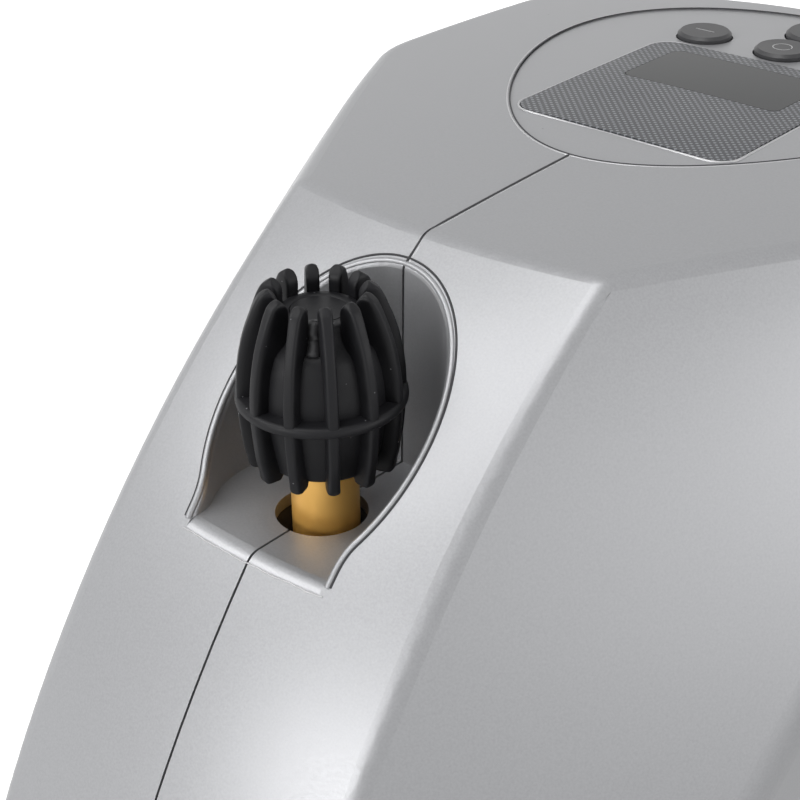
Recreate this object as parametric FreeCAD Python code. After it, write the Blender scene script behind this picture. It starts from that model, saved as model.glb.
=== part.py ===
import FreeCAD, Part
import math
import os

# Portable tire inflator: two faceted half shells round a motor, a reduction gear and a piston pump.
# Millimetres. While modelling, the origin is on the floor, below the middle of the hole in the ledge
# that holds the valve connector. X is to the right, the nose points to -Y, and Z is up.
# Each piece is moved along Y on export, so that the origin is under the middle of the object.

V = FreeCAD.Vector
X_AXIS = V(1, 0, 0)
Y_AXIS = V(0, 1, 0)
Z_AXIS = V(0, 0, 1)

# Fits
running_fit = 0.05
loose_fit = 0.3
seat_gap = 0.1

# Housing
wall = 2.5
foot_height = 3.0
ledge_z = 82.0
crest_y = 97.0
crest_height = 41.3
crest_z = ledge_z + crest_height
top_arc_radius = 1600.0
crown_radius = 870.0
ledge_front_y = -16.0
ledge_lean = math.radians(39.76)
front_arc_radius = 240.0
front_arc_y = ledge_front_y + front_arc_radius * math.cos(ledge_lean)
front_arc_z = ledge_z - front_arc_radius * math.sin(ledge_lean)
front_plan_y = 132.0
rear_arc_radius = 260.0
rear_plan_radius = 110.0
mid_z = 61.0
half_width = 73.0
flank_arc_radius = 500.0
flank_plan_radius = 900.0
flank_y = 90.0
ridge_round = 4.0
side_ridge_round = 5.0
flank_round = 14.0
rear_corner_round = 18.0
bottom_round = 4.0
seam_gap = 0.45
lip_thickness = 1.5
lip_overlap = 3.0

# Side facets: upright sections at three distances from the seam, each with its Y at three heights,
# and how far the facet runs back per millimetre beyond the last one
facet_heights = (ledge_z + 52.0, ledge_z - 12.0, ledge_z - 84.0)
facet_sections = (
    (20.0, (29.7, -43.3, -80.9)),
    (32.5, (51.1, -22.2, -61.6)),
    (50.0, (81.0, 7.3, -34.6)),
)
facet_run = (2.093, 1.822, 1.578)
facet_slope = 0.746

# Niche and ledge
niche_radius = 18.7
niche_back = 1.0
niche_half_width = 14.4
niche_flare = 8.0
niche_draft = 1.5
niche_lip_round = 1.1
ledge_round = 3.3
ledge_thickness = 2.3
ledge_hole_radius = 7.54

# Valve connector
chuck_y = 1.0
barrel_radius = 5.5
barrel_bottom = ledge_z - 14.0
barrel_top = ledge_z + 33.5
mouth_radius = 3.9
tail_radius = 3.0
grip_bottom = ledge_z + 10.4
grip_top = ledge_z + 35.7
rib_count = 12
rib_thickness = 2.1
first_rib_deg = 50.6
flange_radius = 13.55
flange_z = ledge_z + 20.3
flange_height = 2.0
plug_radius = 4.4

# Oval panel on top
panel_front = 65.2
panel_length = 98.0
panel_nose = 41.0
panel_thickness = 3.4
panel_sink = 0.3
panel_gap = 0.2
panel_seat = 4.0
panel_seat_thickness = 2.2
panel_floor_z = crest_z - panel_sink - panel_thickness
overlay_front = 78.3
overlay_back = 129.0
overlay_half_width = 23.2
overlay_corner = 4.5
overlay_thickness = 1.1
overlay_proud = 0.25
window_front = 105.2
window_back = 124.5
window_half_width = 17.0
window_corner = 2.0
window_thickness = 2.2
key_y = 136.5
key_pitch = 18.0
key_radius = 5.5
power_key_y = 151.0
power_key_radius = 6.5
key_flange = 1.0
key_proud = 1.4
key_travel = 0.8
board_z = crest_z - 11.9
board_thickness = 1.6
board_posts = ((-22.0, 92.0), (22.0, 92.0), (-25.0, 147.0), (25.0, 147.0))

# Back end plate
end_plate_z = 65.0
end_plate_width = 78.0
end_plate_height = 38.0
end_plate_thickness = 3.0
end_plate_depth = 10.0
end_plate_border = 2.0
rocker_x = -20.0
rocker_width = 11.0
rocker_length = 17.0
rocker_tilt = 8.0
inlet_x = 20.0
inlet_radius = 4.0
inlet_pin_radius = 1.1

# Work light in the nose
lamp_z = 30.0
lamp_radius = 11.0
lamp_tube_wall = 2.4
lamp_depth = 13.0
lens_start = 1.0
lens_thickness = 3.0
lamp_rim = 1.2
lamp_board_start = 10.0
lamp_board_thickness = 1.6

# Drive
motor_z = 30.0
motor_radius = 16.0
motor_front = 91.0
motor_length = 54.0
fan_room = 33.0
rear_y = motor_front + motor_length + fan_room
motor_wall = 1.5
motor_shaft_radius = 1.6
gear_module = 0.8
gear_teeth = 48
pinion_teeth = 12
gear_front = 74.0
gear_width = 8.0
gear_z = motor_z + gear_module * (gear_teeth + pinion_teeth) / 2
crank_radius = 7.0
crank_pin_radius = 3.0
crank_shaft_radius = 3.0
bearing_radius = 5.5
bearing_width = 4.0
frame_plate_y = 84.5
frame_plate_thickness = 4.5
frame_half_width = 24.0

# Pump
pump_y = 67.0
bore_radius = 10.0
cylinder_wall = 2.5
rod_length = 33.0
rod_width = 7.0
wrist_pin_radius = 2.0
piston_height = 10.0
shelf_thickness = 4.0
wrist_z = gear_z - crank_radius + rod_length
shelf_z = wrist_z - 4.0
cylinder_height = 25.0
fin_radius = 17.0
fin_count = 3
head_half_width = 16.0
head_height = 8.0
head_screw_offset = 12.5

# Feet and screws
foot_radius = 9.0
foot_stem_radius = 2.4
foot_places = (("front_left", -28.0, -43.0), ("front_right", 28.0, -43.0),
               ("rear_left", -47.0, rear_y - 38), ("rear_right", 47.0, rear_y - 38))
screw_places = ((-29.0, 13.0), (-22.0, 60.0), (36.0, 107.0), (50.0, 13.0), (rear_y - 13, 14.0), (rear_y - 18, 101.0))
boss_radius = 5.5
screw_head_radius = 3.3
screw_radius = 1.7


# Drawing helpers

def segment(start, end):
    return Part.LineSegment(V(*start), V(*end)).toShape()


def curve(start, middle, end):
    return Part.Arc(V(*start), V(*middle), V(*end)).toShape()


def polygon(points):
    return Part.Face(Part.makePolygon([V(*p) for p in points] + [V(*points[0])]))


def box(x, y, z):
    """A block between two values on each axis."""
    return Part.makeBox(x[1] - x[0], y[1] - y[0], z[1] - z[0], V(x[0], y[0], z[0]))


def rod(radius, start, end, axis=Z_AXIS, at=(0.0, 0.0)):
    """A round bar along an axis, from start to end. at gives its other two coordinates."""
    if axis == X_AXIS:
        base = V(start, at[0], at[1])
    elif axis == Y_AXIS:
        base = V(at[0], start, at[1])
    else:
        base = V(at[0], at[1], start)
    return Part.makeCylinder(radius, end - start, base, axis)


def ring(outer, inner, start, end, axis=Z_AXIS, at=(0.0, 0.0)):
    return rod(outer, start, end, axis, at).cut(rod(inner, start - 1, end + 1, axis, at))


def prism(sides, radius, start, end, axis=Z_AXIS, at=(0.0, 0.0)):
    """A bar with flat sides, placed as rod is. It stands in for the thread and the head of small screws."""
    turns = [2 * math.pi * i / sides for i in range(sides)]
    bar = polygon([(radius * math.cos(t), radius * math.sin(t), start) for t in turns])
    bar = bar.extrude(V(0, 0, end - start))
    if axis == X_AXIS:
        bar.rotate(V(0, 0, 0), Y_AXIS, 90)
        bar.translate(V(0, at[0], at[1]))
    elif axis == Y_AXIS:
        bar.rotate(V(0, 0, 0), X_AXIS, -90)
        bar.translate(V(at[0], 0, at[1]))
    else:
        bar.translate(V(at[0], at[1], 0))
    return bar


def turned(profile, at=(0.0, 0.0)):
    """A solid of revolution about an upright axis, from (radius, height) pairs."""
    face = polygon([(r, 0, z) for r, z in profile])
    solid = face.revolve(V(0, 0, 0), Z_AXIS, 360)
    solid.translate(V(at[0], at[1], 0))
    return solid


def rounded_block(x, y, z, radius):
    """A block whose four upright edges are rounded."""
    block = box(x, y, z)
    upright = [e for e in block.Edges if abs(e.tangentAt(e.FirstParameter).z) > 0.9]
    return block.makeFillet(radius, upright)


def fused(shapes):
    whole = shapes[0]
    if len(shapes) > 1:
        whole = whole.multiFuse(shapes[1:])
    return whole.removeSplitter()


def mirrored(shape):
    return shape.mirror(V(0, 0, 0), X_AXIS)


def both_sides(shape):
    return [shape, mirrored(shape)]


# Surfaces of the housing. Each is a cutter that takes away what is outside it. An inset moves it
# inwards, so the same functions give the outer form, the hollow and everything between.

low_z = -10.0
high_z = 140.0
far = 260.0


def arc_offset(radius, height, middle):
    return math.sqrt(radius ** 2 - (height - middle) ** 2)


def turned_cutter(boundary, out, axis_point, half_angle):
    """Sweeps the area between an upright arc and a far line round an upright axis."""
    (bottom, middle, top) = boundary
    far_top = (out[0], out[1], high_z)
    far_bottom = (out[0], out[1], low_z)
    edges = [curve(bottom, middle, top), segment(top, far_top), segment(far_top, far_bottom),
             segment(far_bottom, bottom)]
    face = Part.Face(Part.Wire(edges))
    face.rotate(axis_point, Z_AXIS, -half_angle)
    return face.revolve(axis_point, Z_AXIS, 2 * half_angle)


def front_height_curve(z, inset=0.0):
    return front_arc_y - arc_offset(front_arc_radius - inset, z, front_arc_z)


def front_surface_y(x, z):
    """Where the front facet is, at a distance x from the seam."""
    reach = front_plan_y - front_height_curve(z)
    return front_plan_y - math.sqrt(reach ** 2 - x ** 2)


def front_cutter(inset):
    boundary = [(0, front_height_curve(z, inset), z) for z in (low_z, mid_z, high_z)]
    return turned_cutter(boundary, (0, -far / 2), V(0, front_plan_y, 0), 60)


def rear_cutter(inset):
    middle = rear_y - rear_arc_radius
    boundary = [(0, middle + arc_offset(rear_arc_radius - inset, z, mid_z), z) for z in (low_z, mid_z, high_z)]
    return turned_cutter(boundary, (0, far), V(0, rear_y - rear_plan_radius, 0), 70)


def flank_cutter(inset):
    middle = half_width - flank_arc_radius
    boundary = [(middle + arc_offset(flank_arc_radius - inset, z, mid_z), flank_y, z)
                for z in (low_z, mid_z, high_z)]
    return turned_cutter(boundary, (far / 2, flank_y), V(half_width - flank_plan_radius, flank_y, 0), 12)


def top_z(x, y, depth=0.0):
    """Height of the crowned top, or of a surface that runs a depth below it."""
    fall = top_arc_radius - depth - arc_offset(top_arc_radius - depth, y, crest_y)
    reach = crown_radius - depth - fall
    return crest_z - crown_radius + math.sqrt(reach ** 2 - x ** 2)


def top_cutter(depth):
    y_start, y_end = -far / 2, far
    start, middle, end = [(0, y, top_z(0, y, depth)) for y in (y_start, crest_y, y_end)]
    far_start, far_end = (0, y_start, crest_z + far), (0, y_end, crest_z + far)
    edges = [curve(start, middle, end), segment(end, far_end), segment(far_end, far_start),
             segment(far_start, start)]
    face = Part.Face(Part.Wire(edges))
    axis_point = V(0, 0, crest_z - crown_radius)
    face.rotate(axis_point, Y_AXIS, -8)
    return face.revolve(axis_point, Y_AXIS, 16)


def facet_cutter(inset):
    """What stands outside a side facet: a loft through upright arcs at growing distance from the seam."""
    last_x, last_depths = facet_sections[-1]
    end_x = half_width + 4
    end_depths = tuple(y + run * (end_x - last_x) for y, run in zip(last_depths, facet_run))
    sections = []
    out = -far / 2
    for x, depths in facet_sections + ((end_x, end_depths),):
        place = x - inset / facet_slope
        top, middle, bottom = [(place, y, z) for y, z in zip(depths, facet_heights)]
        far_top, far_bottom = (place, out, top[2]), (place, out, bottom[2])
        edges = [curve(bottom, middle, top), segment(top, far_top), segment(far_top, far_bottom),
                 segment(far_bottom, bottom)]
        sections.append(Part.Wire(edges))
    return Part.makeLoft(sections, True, False)


def housing_form(inset):
    """The faceted form, without its rounded edges."""
    side = half_width + 12
    form = box((-side, side), (-90, rear_y + 30), (foot_height + inset, crest_z + 5))
    cutters = [front_cutter(inset), rear_cutter(inset), top_cutter(inset)]
    cutters += both_sides(flank_cutter(inset)) + both_sides(facet_cutter(inset))
    for cutter in cutters:
        form = form.cut(cutter)
    return form


def edges_where(shape, test):
    return [e for e in shape.Edges if test(e.CenterOfMass, e)]


def rounded_housing():
    """The outer form with its ridges and corners rounded, the largest radii first."""
    form = housing_form(0)

    def upright(c):
        return foot_height + 20 < c.z < crest_z - 20

    rear_corners = edges_where(form, lambda c, e: upright(c) and c.y > flank_y + 20)
    form = form.makeFillet(rear_corner_round, rear_corners)
    flank_ridges = edges_where(form, lambda c, e: upright(c) and 10 < c.y < flank_y)
    form = form.makeFillet(flank_round, flank_ridges)
    side_ridges = edges_where(form, lambda c, e: upright(c) and c.y < 10 and abs(c.x) > 20)
    form = form.makeFillet(side_ridge_round, side_ridges)
    form = form.makeFillet(ridge_round, edges_where(form, lambda c, e: c.z > crest_z - 6))
    return form.makeFillet(bottom_round, edges_where(form, lambda c, e: c.z < foot_height + 0.1))


# Niche

def niche_outline(height, grow):
    """The niche in plan: a round back, and a straight throat to the front joined by flared arcs."""
    grow += math.tan(math.radians(niche_draft)) * (height - ledge_z)
    radius = niche_radius + grow
    half = niche_half_width + grow
    flare = niche_flare - grow
    flare_x = half + flare
    flare_y = niche_back - math.sqrt((radius + flare) ** 2 - flare_x ** 2)
    share = radius / (radius + flare)
    join = (flare_x * share, niche_back + (flare_y - niche_back) * share)
    turn = math.atan2(join[1] - flare_y, join[0] - flare_x)
    half_turn = (turn + math.pi) / 2
    bend = (flare_x + flare * math.cos(half_turn), flare_y + flare * math.sin(half_turn))
    front = -60.0

    def at(x, y):
        return (x, y, height)

    edges = [
        curve(at(join[0], join[1]), at(0, niche_back + radius), at(-join[0], join[1])),
        curve(at(-join[0], join[1]), at(-bend[0], bend[1]), at(-half, flare_y)),
        segment(at(-half, flare_y), at(-half, front)),
        segment(at(-half, front), at(half, front)),
        segment(at(half, front), at(half, flare_y)),
        curve(at(half, flare_y), at(bend[0], bend[1]), at(join[0], join[1])),
    ]
    return Part.Wire(edges)


def niche_block(grow, floor):
    top = crest_z + 10
    return Part.makeLoft([niche_outline(floor, grow), niche_outline(top, grow)], True, True)


def ledge_edge_cutter():
    """What stands outside the rounded front edge of the ledge. It is turned about the front facet's axis."""
    turn = math.pi / 2 - ledge_lean
    reach = ledge_round * math.tan(turn / 2)
    out = V(0, -math.cos(ledge_lean), math.sin(ledge_lean))
    down = V(0, -math.sin(ledge_lean), -math.cos(ledge_lean))
    corner = V(0, ledge_front_y, ledge_z)
    start = corner + Y_AXIS * reach
    end = corner + down * reach
    centre = start - Z_AXIS * ledge_round
    middle = centre + (Z_AXIS + out).normalize() * ledge_round
    chain = [end, end + out, corner + out + Z_AXIS, start + Z_AXIS, start]
    edges = [Part.Arc(start, middle, end).toShape()]
    edges += [Part.LineSegment(a, b).toShape() for a, b in zip(chain[:-1], chain[1:])]
    half_angle = math.degrees(math.asin(niche_half_width / (front_plan_y - ledge_front_y)))
    face = Part.Face(Part.Wire(edges))
    axis_point = V(0, front_plan_y, 0)
    face.rotate(axis_point, Z_AXIS, -half_angle)
    return face.revolve(axis_point, Z_AXIS, 2 * half_angle)


# Oval panel opening

def oval_wire(grow):
    """An egg: its half width is the root of nose * length * s * (1 - s^3), s running from front to back."""
    count = 20
    points = []
    for i in range(count):
        turn = 2 * math.pi * i / count
        s = (1 - math.cos(turn)) / 2
        half = math.sqrt(panel_nose * panel_length * s * (1 - s ** 3))
        points.append((math.copysign(half, math.sin(turn)) if half else 0.0, panel_front + panel_length * s))
    places = []
    for i, (x, y) in enumerate(points):
        before, after = points[i - 1], points[(i + 1) % count]
        along = V(after[0] - before[0], after[1] - before[1], 0).normalize()
        places.append(V(x - along.y * -grow, y - along.x * grow, 0))
    spline = Part.BSplineCurve()
    spline.interpolate(Points=places, PeriodicFlag=True)
    return Part.Wire(spline.toShape())


above_crest = crest_z + 5
below_panel = crest_z - 20


def oval_block(grow, bottom):
    face = Part.Face(oval_wire(grow))
    face.translate(V(0, 0, bottom))
    return face.extrude(V(0, 0, above_crest - bottom))


def overlay_block(grow, bottom):
    return rounded_block((-overlay_half_width - grow, overlay_half_width + grow),
                         (overlay_front - grow, overlay_back + grow), (bottom, above_crest), overlay_corner)


def window_block(grow, bottom):
    return rounded_block((-window_half_width - grow, window_half_width + grow),
                         (window_front - grow, window_back + grow), (bottom, above_crest), window_corner)


# Name, x, y and radius of each key
keys = (
    ("minus_button", -key_pitch, key_y, key_radius),
    ("mode_button", 0.0, key_y, key_radius),
    ("plus_button", key_pitch, key_y, key_radius),
    ("power_button", 0.0, power_key_y, power_key_radius),
)


# Back end plate and work light places

end_plate_y = rear_y - end_plate_depth
lamp_y = front_height_curve(lamp_z)
lamp_lean = math.degrees(math.asin((lamp_z - front_arc_z) / front_arc_radius))


def lamp_place(shape):
    """Moves a shape built along +Y from the origin so that it runs into the nose, square to its surface."""
    shape.rotate(V(0, 0, 0), X_AXIS, -lamp_lean)
    shape.translate(V(0, lamp_y, lamp_z))
    return shape


def end_plate_block(grow, y, corner):
    width = end_plate_width / 2 + grow
    height = end_plate_height / 2 + grow
    block = box((-width, width), y, (end_plate_z - height, end_plate_z + height))
    along = [e for e in block.Edges if abs(e.tangentAt(e.FirstParameter).y) > 0.9]
    return block.makeFillet(corner, along)


# Housing shells

def inner_features():
    """Ribs, bosses and seats inside the shells, before they are trimmed to the housing."""
    span = (-half_width, half_width)
    parts = []
    for y, z in screw_places:
        parts.append(rod(boss_radius, span[0], span[1], X_AXIS, (y, z)))
    tube = rod(lamp_radius + lamp_tube_wall, -5, lamp_depth, Y_AXIS)
    parts.append(lamp_place(tube))
    parts.append(end_plate_block(end_plate_border + 2, (end_plate_y - end_plate_thickness - 4, rear_y), 4))
    for _, x, y in foot_places:
        parts.append(rod(foot_radius + 2.5, 0, foot_height + 5, at=(x, y)))
    dock_shelf = ledge_z - ledge_thickness - 5.0
    parts.append(box((-18, 18), (-25, 16), (dock_shelf, dock_shelf + 3)))
    seat_bottom = panel_floor_z - panel_seat_thickness
    parts.append(oval_block(3.0, seat_bottom).cut(oval_block(-panel_seat, seat_bottom - 1)))
    return parts


def drive_ribs():
    """Cradle ribs under the motor, and the ribs that hold the gear frame's plate."""
    span = (-motor_radius - 6, motor_radius + 6)
    bottom = foot_height
    parts = []
    for y in (motor_front + 14, motor_front + motor_length - 12):
        parts.append(box(span, (y, y + 3), (bottom, motor_z)))
    plate_end = frame_plate_y + frame_plate_thickness
    for y in (frame_plate_y - 2.5, plate_end + seat_gap):
        parts.append(box(span, (y, y + 2.4), (bottom, frame_bottom + 7)))
    parts.append(box(span, (frame_plate_y - 1, plate_end + 1), (bottom, frame_bottom)))
    return parts


frame_bottom = 9.0


def housing_cuts():
    """Everything that is cut through the finished housing."""
    cuts = [rod(ledge_hole_radius, ledge_z - 10, ledge_z + 5)]
    cuts.append(rod(barrel_radius + 5.2, ledge_z - ledge_thickness - 9, ledge_z - ledge_thickness, at=(0, chuck_y)))
    cuts.append(oval_block(panel_gap, panel_floor_z))
    cuts.append(oval_block(-panel_seat, below_panel))
    groove = lamp_radius + seat_gap
    cuts.append(lamp_place(rod(lamp_radius - lamp_rim, -20, lamp_depth + 5, Y_AXIS)))
    cuts.append(lamp_place(rod(groove, lens_start, lens_start + lens_thickness + seat_gap, Y_AXIS)))
    cuts.append(lamp_place(rod(groove, lamp_board_start, lamp_board_start + lamp_board_thickness + seat_gap, Y_AXIS)))
    opening = end_plate_block(-end_plate_border, (end_plate_y - end_plate_thickness - 8, rear_y + 5), 3)
    groove = end_plate_block(seat_gap, (end_plate_y - end_plate_thickness - seat_gap, end_plate_y + seat_gap), 1)
    cuts += [opening, groove]
    for _, x, y in foot_places:
        cuts.append(rod(foot_radius + seat_gap, -1, foot_height + 1.5, at=(x, y)))
        cuts.append(rod(foot_stem_radius + seat_gap, -1, foot_height + 6, at=(x, y)))
    cuts.append(rod(motor_radius + running_fit, motor_front, motor_front + motor_length, Y_AXIS, (0, motor_z)))
    for y, z in screw_places:
        cuts.append(rod(screw_radius + seat_gap, -12, 0, X_AXIS, (y, z)))
        cuts.append(rod(screw_head_radius + 0.4, -far / 2, -9, X_AXIS, (y, z)))
        cuts.append(rod(screw_radius, -1, 14, X_AXIS, (y, z)))
    return cuts


vent_count = 6
vent_pitch = 9.0
vent_width = 3.4
vent_height = 32.0
vent_first_y = 96.0
vent_z = 55.0
vent_lean = 20.0


def vent_slots():
    """A row of leaning slots, the same in both flanks."""
    slots = []
    for i in range(vent_count):
        half = vent_height / 2
        slot = box((half_width - 12, half_width + 5), (-vent_width / 2, vent_width / 2), (-half, half))
        slot.rotate(V(0, 0, 0), X_AXIS, vent_lean)
        slot.translate(V(0, vent_first_y + i * vent_pitch, vent_z))
        slots += both_sides(slot)
    return slots


def hollow(inset, ledge):
    """The space inside the shells, with room left for the niche and its ledge."""
    space = housing_form(inset)
    return space.cut(niche_block(inset, ledge_z - ledge))


def on_front_facet(point):
    return abs(point.y - front_surface_y(point.x, point.z)) < running_fit


def niche_arch(form):
    """The long edge where the niche leaves the front facet. Rounding it rounds the throat's edges too."""
    def is_arch(c, e):
        middle = e.valueAt((e.FirstParameter + e.LastParameter) / 2)
        return e.Length > 3 * niche_radius and ledge_z < c.z < crest_z - 5 and on_front_facet(middle)
    return edges_where(form, is_arch)


def housing():
    """The whole housing in one piece, ready to be parted at the seam."""
    form = rounded_housing().cut(niche_block(0, ledge_z))
    form = form.makeFillet(niche_lip_round, niche_arch(form)).cut(ledge_edge_cutter())
    skin = form.cut(hollow(wall, ledge_thickness))
    trim = housing_form(wall - 0.8)
    features = fused(inner_features() + drive_ribs()).common(trim)
    whole = skin.fuse(features.cut(niche_block(0, ledge_z)))
    return whole.cut(housing_cuts() + vent_slots())


def seam_lip():
    """A strip inside the right shell that overlaps the seam and keeps light out."""
    core = hollow(wall + lip_thickness, ledge_thickness + lip_thickness)
    seam = seam_gap / 2
    root = hollow(wall, ledge_thickness).common(box((seam, seam + lip_thickness), (-far, far), (0, crest_z)))
    tongue = hollow(wall + loose_fit / 2, ledge_thickness + loose_fit / 2)
    tongue = tongue.common(box((-lip_overlap, seam + lip_thickness), (-far, far), (0, crest_z)))
    strip = root.fuse(tongue).cut(core)
    border = end_plate_border + 2.3
    clear = [
        oval_block(3.5, below_panel),
        lamp_place(rod(lamp_radius + lamp_tube_wall + loose_fit, -20, lamp_depth + 5, Y_AXIS)),
        end_plate_block(border, (end_plate_y - end_plate_thickness - 5, rear_y + 5), 4),
        box((-far, far), (-26, 17), (ledge_z - ledge_thickness - 6, ledge_z)),
        box((-far, far), (frame_plate_y - 4, motor_front + motor_length), (0, motor_z)),
    ]
    clear += [rod(boss_radius + loose_fit, -lip_overlap - 1, far, X_AXIS, place) for place in screw_places]
    return strip.cut(clear)


# Valve connector

def grip_rib():
    """One rib, standing on the core at +X: a bowed outside, a bent finger and a rounded tip."""

    def at(radius, height):
        return (radius, -rib_thickness / 2, ledge_z + height)

    foot_outside, bend, tip_outside, tip_inside = at(11.6, 9.2), at(11.8, 32.5), at(8.0, 39.9), at(6.6, 39.3)
    inside = [tip_inside, at(6.1, 35.0), at(7.6, 30.8), at(8.2, 10.0), foot_outside]
    edges = [curve(foot_outside, at(13.15, 21.5), bend), curve(bend, at(10.6, 35.9), tip_outside),
             segment(tip_outside, tip_inside)]
    edges += [segment(start, end) for start, end in zip(inside[:-1], inside[1:])]
    return Part.Face(Part.Wire(edges)).extrude(V(0, rib_thickness, 0))


def chuck_grip():
    """Rubber grip: a core with a shoulder, a flange round its middle and twelve ribs."""
    plug_hole = plug_radius + running_fit
    core = turned([
        (barrel_radius, grip_bottom), (8.8, grip_bottom), (8.8, ledge_z + 29), (7.0, ledge_z + 32),
        (5.9, ledge_z + 33.2), (5.9, grip_top), (plug_hole, grip_top), (plug_hole, barrel_top), (barrel_radius, barrel_top),
    ])
    flange = ring(flange_radius, barrel_radius + 2.5, flange_z, flange_z + flange_height)
    rib = grip_rib()
    parts = [core, flange]
    for i in range(rib_count):
        copy = rib.copy()
        copy.rotate(V(0, 0, 0), Z_AXIS, first_rib_deg - 90 + 360.0 * i / rib_count)
        parts.append(copy)
    grip = fused(parts)
    grip.translate(V(0, chuck_y, 0))
    return grip


def chuck_barrel():
    """Brass barrel: a threaded mouth above, and a socket below in which the hose tail turns."""
    seal_z = ledge_z + 14.0
    profile = [
        (tail_radius + running_fit, barrel_bottom), (barrel_radius - 0.4, barrel_bottom),
        (barrel_radius, barrel_bottom + 0.4), (barrel_radius, barrel_top), (mouth_radius, barrel_top),
        (mouth_radius, seal_z - 1.2), (2.0, seal_z - 1.2), (2.0, barrel_bottom + 8),
        (tail_radius + 1 + running_fit, barrel_bottom + 8), (tail_radius + 1 + running_fit, barrel_bottom + 2.8),
        (tail_radius + running_fit, barrel_bottom + 2.8),
    ]
    return turned(profile, (0, chuck_y))


def swivel_tail():
    """Hose tail: a head held in the barrel, a neck and two barbs for the hose."""
    barb_length, barb_rise, bore = 6.0, 0.7, 1.5
    first_barb = barrel_bottom - 18.0
    profile = [(bore, first_barb)]
    for i in range(2):
        z = first_barb + i * barb_length
        profile += [(tail_radius - barb_rise / 2, z), (tail_radius + barb_rise / 2, z + barb_length)]
    profile += [(tail_radius, first_barb + 2 * barb_length), (tail_radius, barrel_bottom + 2.9),
                (tail_radius + 1, barrel_bottom + 2.9), (tail_radius + 1, barrel_bottom + 6), (bore, barrel_bottom + 6)]
    return turned(profile, (0, chuck_y))


def chuck_seal():
    return ring(mouth_radius, 1.7, ledge_z + 14, ledge_z + 16, at=(0, chuck_y))


def valve_pin():
    """The pin that opens the tyre's valve, on a disc with air holes."""
    base = ledge_z + 14.0
    disc = rod(mouth_radius, base - 1.2, base)
    for i in range(3):
        turn = math.radians(120 * i)
        disc = disc.cut(rod(0.7, base - 2, base + 1, at=(2.6 * math.cos(turn), 2.6 * math.sin(turn))))
    pin = fused([disc, rod(0.8, base - 0.5, base + 5)])
    pin.translate(V(0, chuck_y, 0))
    return pin


def mouth_plug():
    """Rubber dust plug in the grip's mouth, with a small nib to lift it by."""
    disc = rod(plug_radius, barrel_top + seat_gap, grip_top)
    stem = rod(mouth_radius - seat_gap, barrel_top - 4, barrel_top + 1)
    nib = Part.makeSphere(0.9, V(-1.2, -2.4, grip_top - 0.3))
    plug = fused([disc, stem, nib])
    plug.translate(V(0, chuck_y, 0))
    return plug


def chuck_dock():
    """Guide under the ledge: a flanged cup that the connector stands in, with a way through for the hose."""
    top = ledge_z - ledge_thickness
    bore = barrel_radius + loose_fit
    profile = [
        (tail_radius + 1.2, barrel_bottom - 3), (bore + 2.4, barrel_bottom - 3), (bore + 2.4, top - 2), (13.0, top - 2),
        (13.0, top), (bore + 2.6, top), (bore, top - 3), (bore, barrel_bottom), (tail_radius + 1.2, barrel_bottom),
    ]
    return turned(profile, (0, chuck_y))


# Panel, display and keys

def display_panel():
    """Oval plate that follows the crowned top, with seats for overlay, window and keys and posts for the board."""
    panel = oval_block(0, panel_floor_z).cut(top_cutter(panel_sink))
    panel = panel.cut(overlay_block(seat_gap, overlay_floor_z))
    panel = panel.cut(window_block(seat_gap, below_panel))
    for _, x, y, radius in keys:
        panel = panel.cut(rod(radius + loose_fit, below_panel, above_crest, at=(x, y)))
    posts = []
    for x, y in board_posts:
        post = rod(3, board_z + board_thickness, panel_floor_z + 0.5, at=(x, y))
        posts.append(post.cut(rod(board_screw_radius, board_z, board_z + board_thickness + 5, at=(x, y))))
    return fused([panel] + posts)


overlay_floor_z = crest_z - panel_sink - overlay_thickness + overlay_proud
board_screw_radius = 1.2


def display_overlay():
    overlay = overlay_block(0, overlay_floor_z).cut(top_cutter(panel_sink - overlay_proud))
    return overlay.cut(window_block(seat_gap, below_panel))


def lcd_window():
    bottom = crest_z - panel_sink + overlay_proud - window_thickness
    return window_block(0, bottom).cut(top_cutter(panel_sink - overlay_proud))


def lcd_module():
    """Glass display cell in its frame, on the board."""
    middle = (window_front + window_back) / 2
    reach = (window_back - window_front) / 2 + 4
    half = window_half_width + 4
    base = board_z + board_thickness
    frame = box((-half, half), (middle - reach, middle + reach), (base, base + 5))
    glass = box((-half + 3, half - 3), (middle - reach + 3, middle + reach - 3), (base + 5, base + 5.6))
    return fused([frame, glass])


def control_board():
    board = rounded_block((-31, 31), (87, 157), (board_z, board_z + board_thickness), 6)
    for x, y in board_posts:
        board = board.cut(rod(board_screw_radius + seat_gap, board_z - 1, board_z + 3, at=(x, y)))
    return board


def board_screws():
    screws = []
    for x, y in board_posts:
        head = prism(8, 2.6, board_z - 1.8, board_z, at=(x, y))
        shank = prism(6, board_screw_radius, board_z, board_z + board_thickness + 4.5, at=(x, y))
        screws.append(fused([head, shank]))
    return Part.makeCompound(screws)


key_flange_top = panel_floor_z - seat_gap
key_flange_bottom = key_flange_top - 1.2
key_bevel = 0.6


def key_cap(x, y, radius):
    """A cap with a bevelled top, and a flange under the panel that keeps it in."""
    top = top_z(x, y, panel_sink) + key_proud
    flange = radius + key_flange
    return turned([
        (0, key_flange_bottom), (flange, key_flange_bottom), (flange, key_flange_top), (radius, key_flange_top),
        (radius, top - key_bevel), (radius - key_bevel, top), (0, top),
    ], (x, y))


def key_switches():
    """One small push switch under each key."""
    base = board_z + board_thickness
    switches = []
    for _, x, y, _ in keys:
        plunger_top = key_flange_bottom - key_travel - seat_gap
        body = box((x - 3, x + 3), (y - 3, y + 3), (base, plunger_top - 0.8))
        switches.append(fused([body, rod(1.7, plunger_top - 1, plunger_top, at=(x, y))]))
    return Part.makeCompound(switches)


# Back end plate

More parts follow.
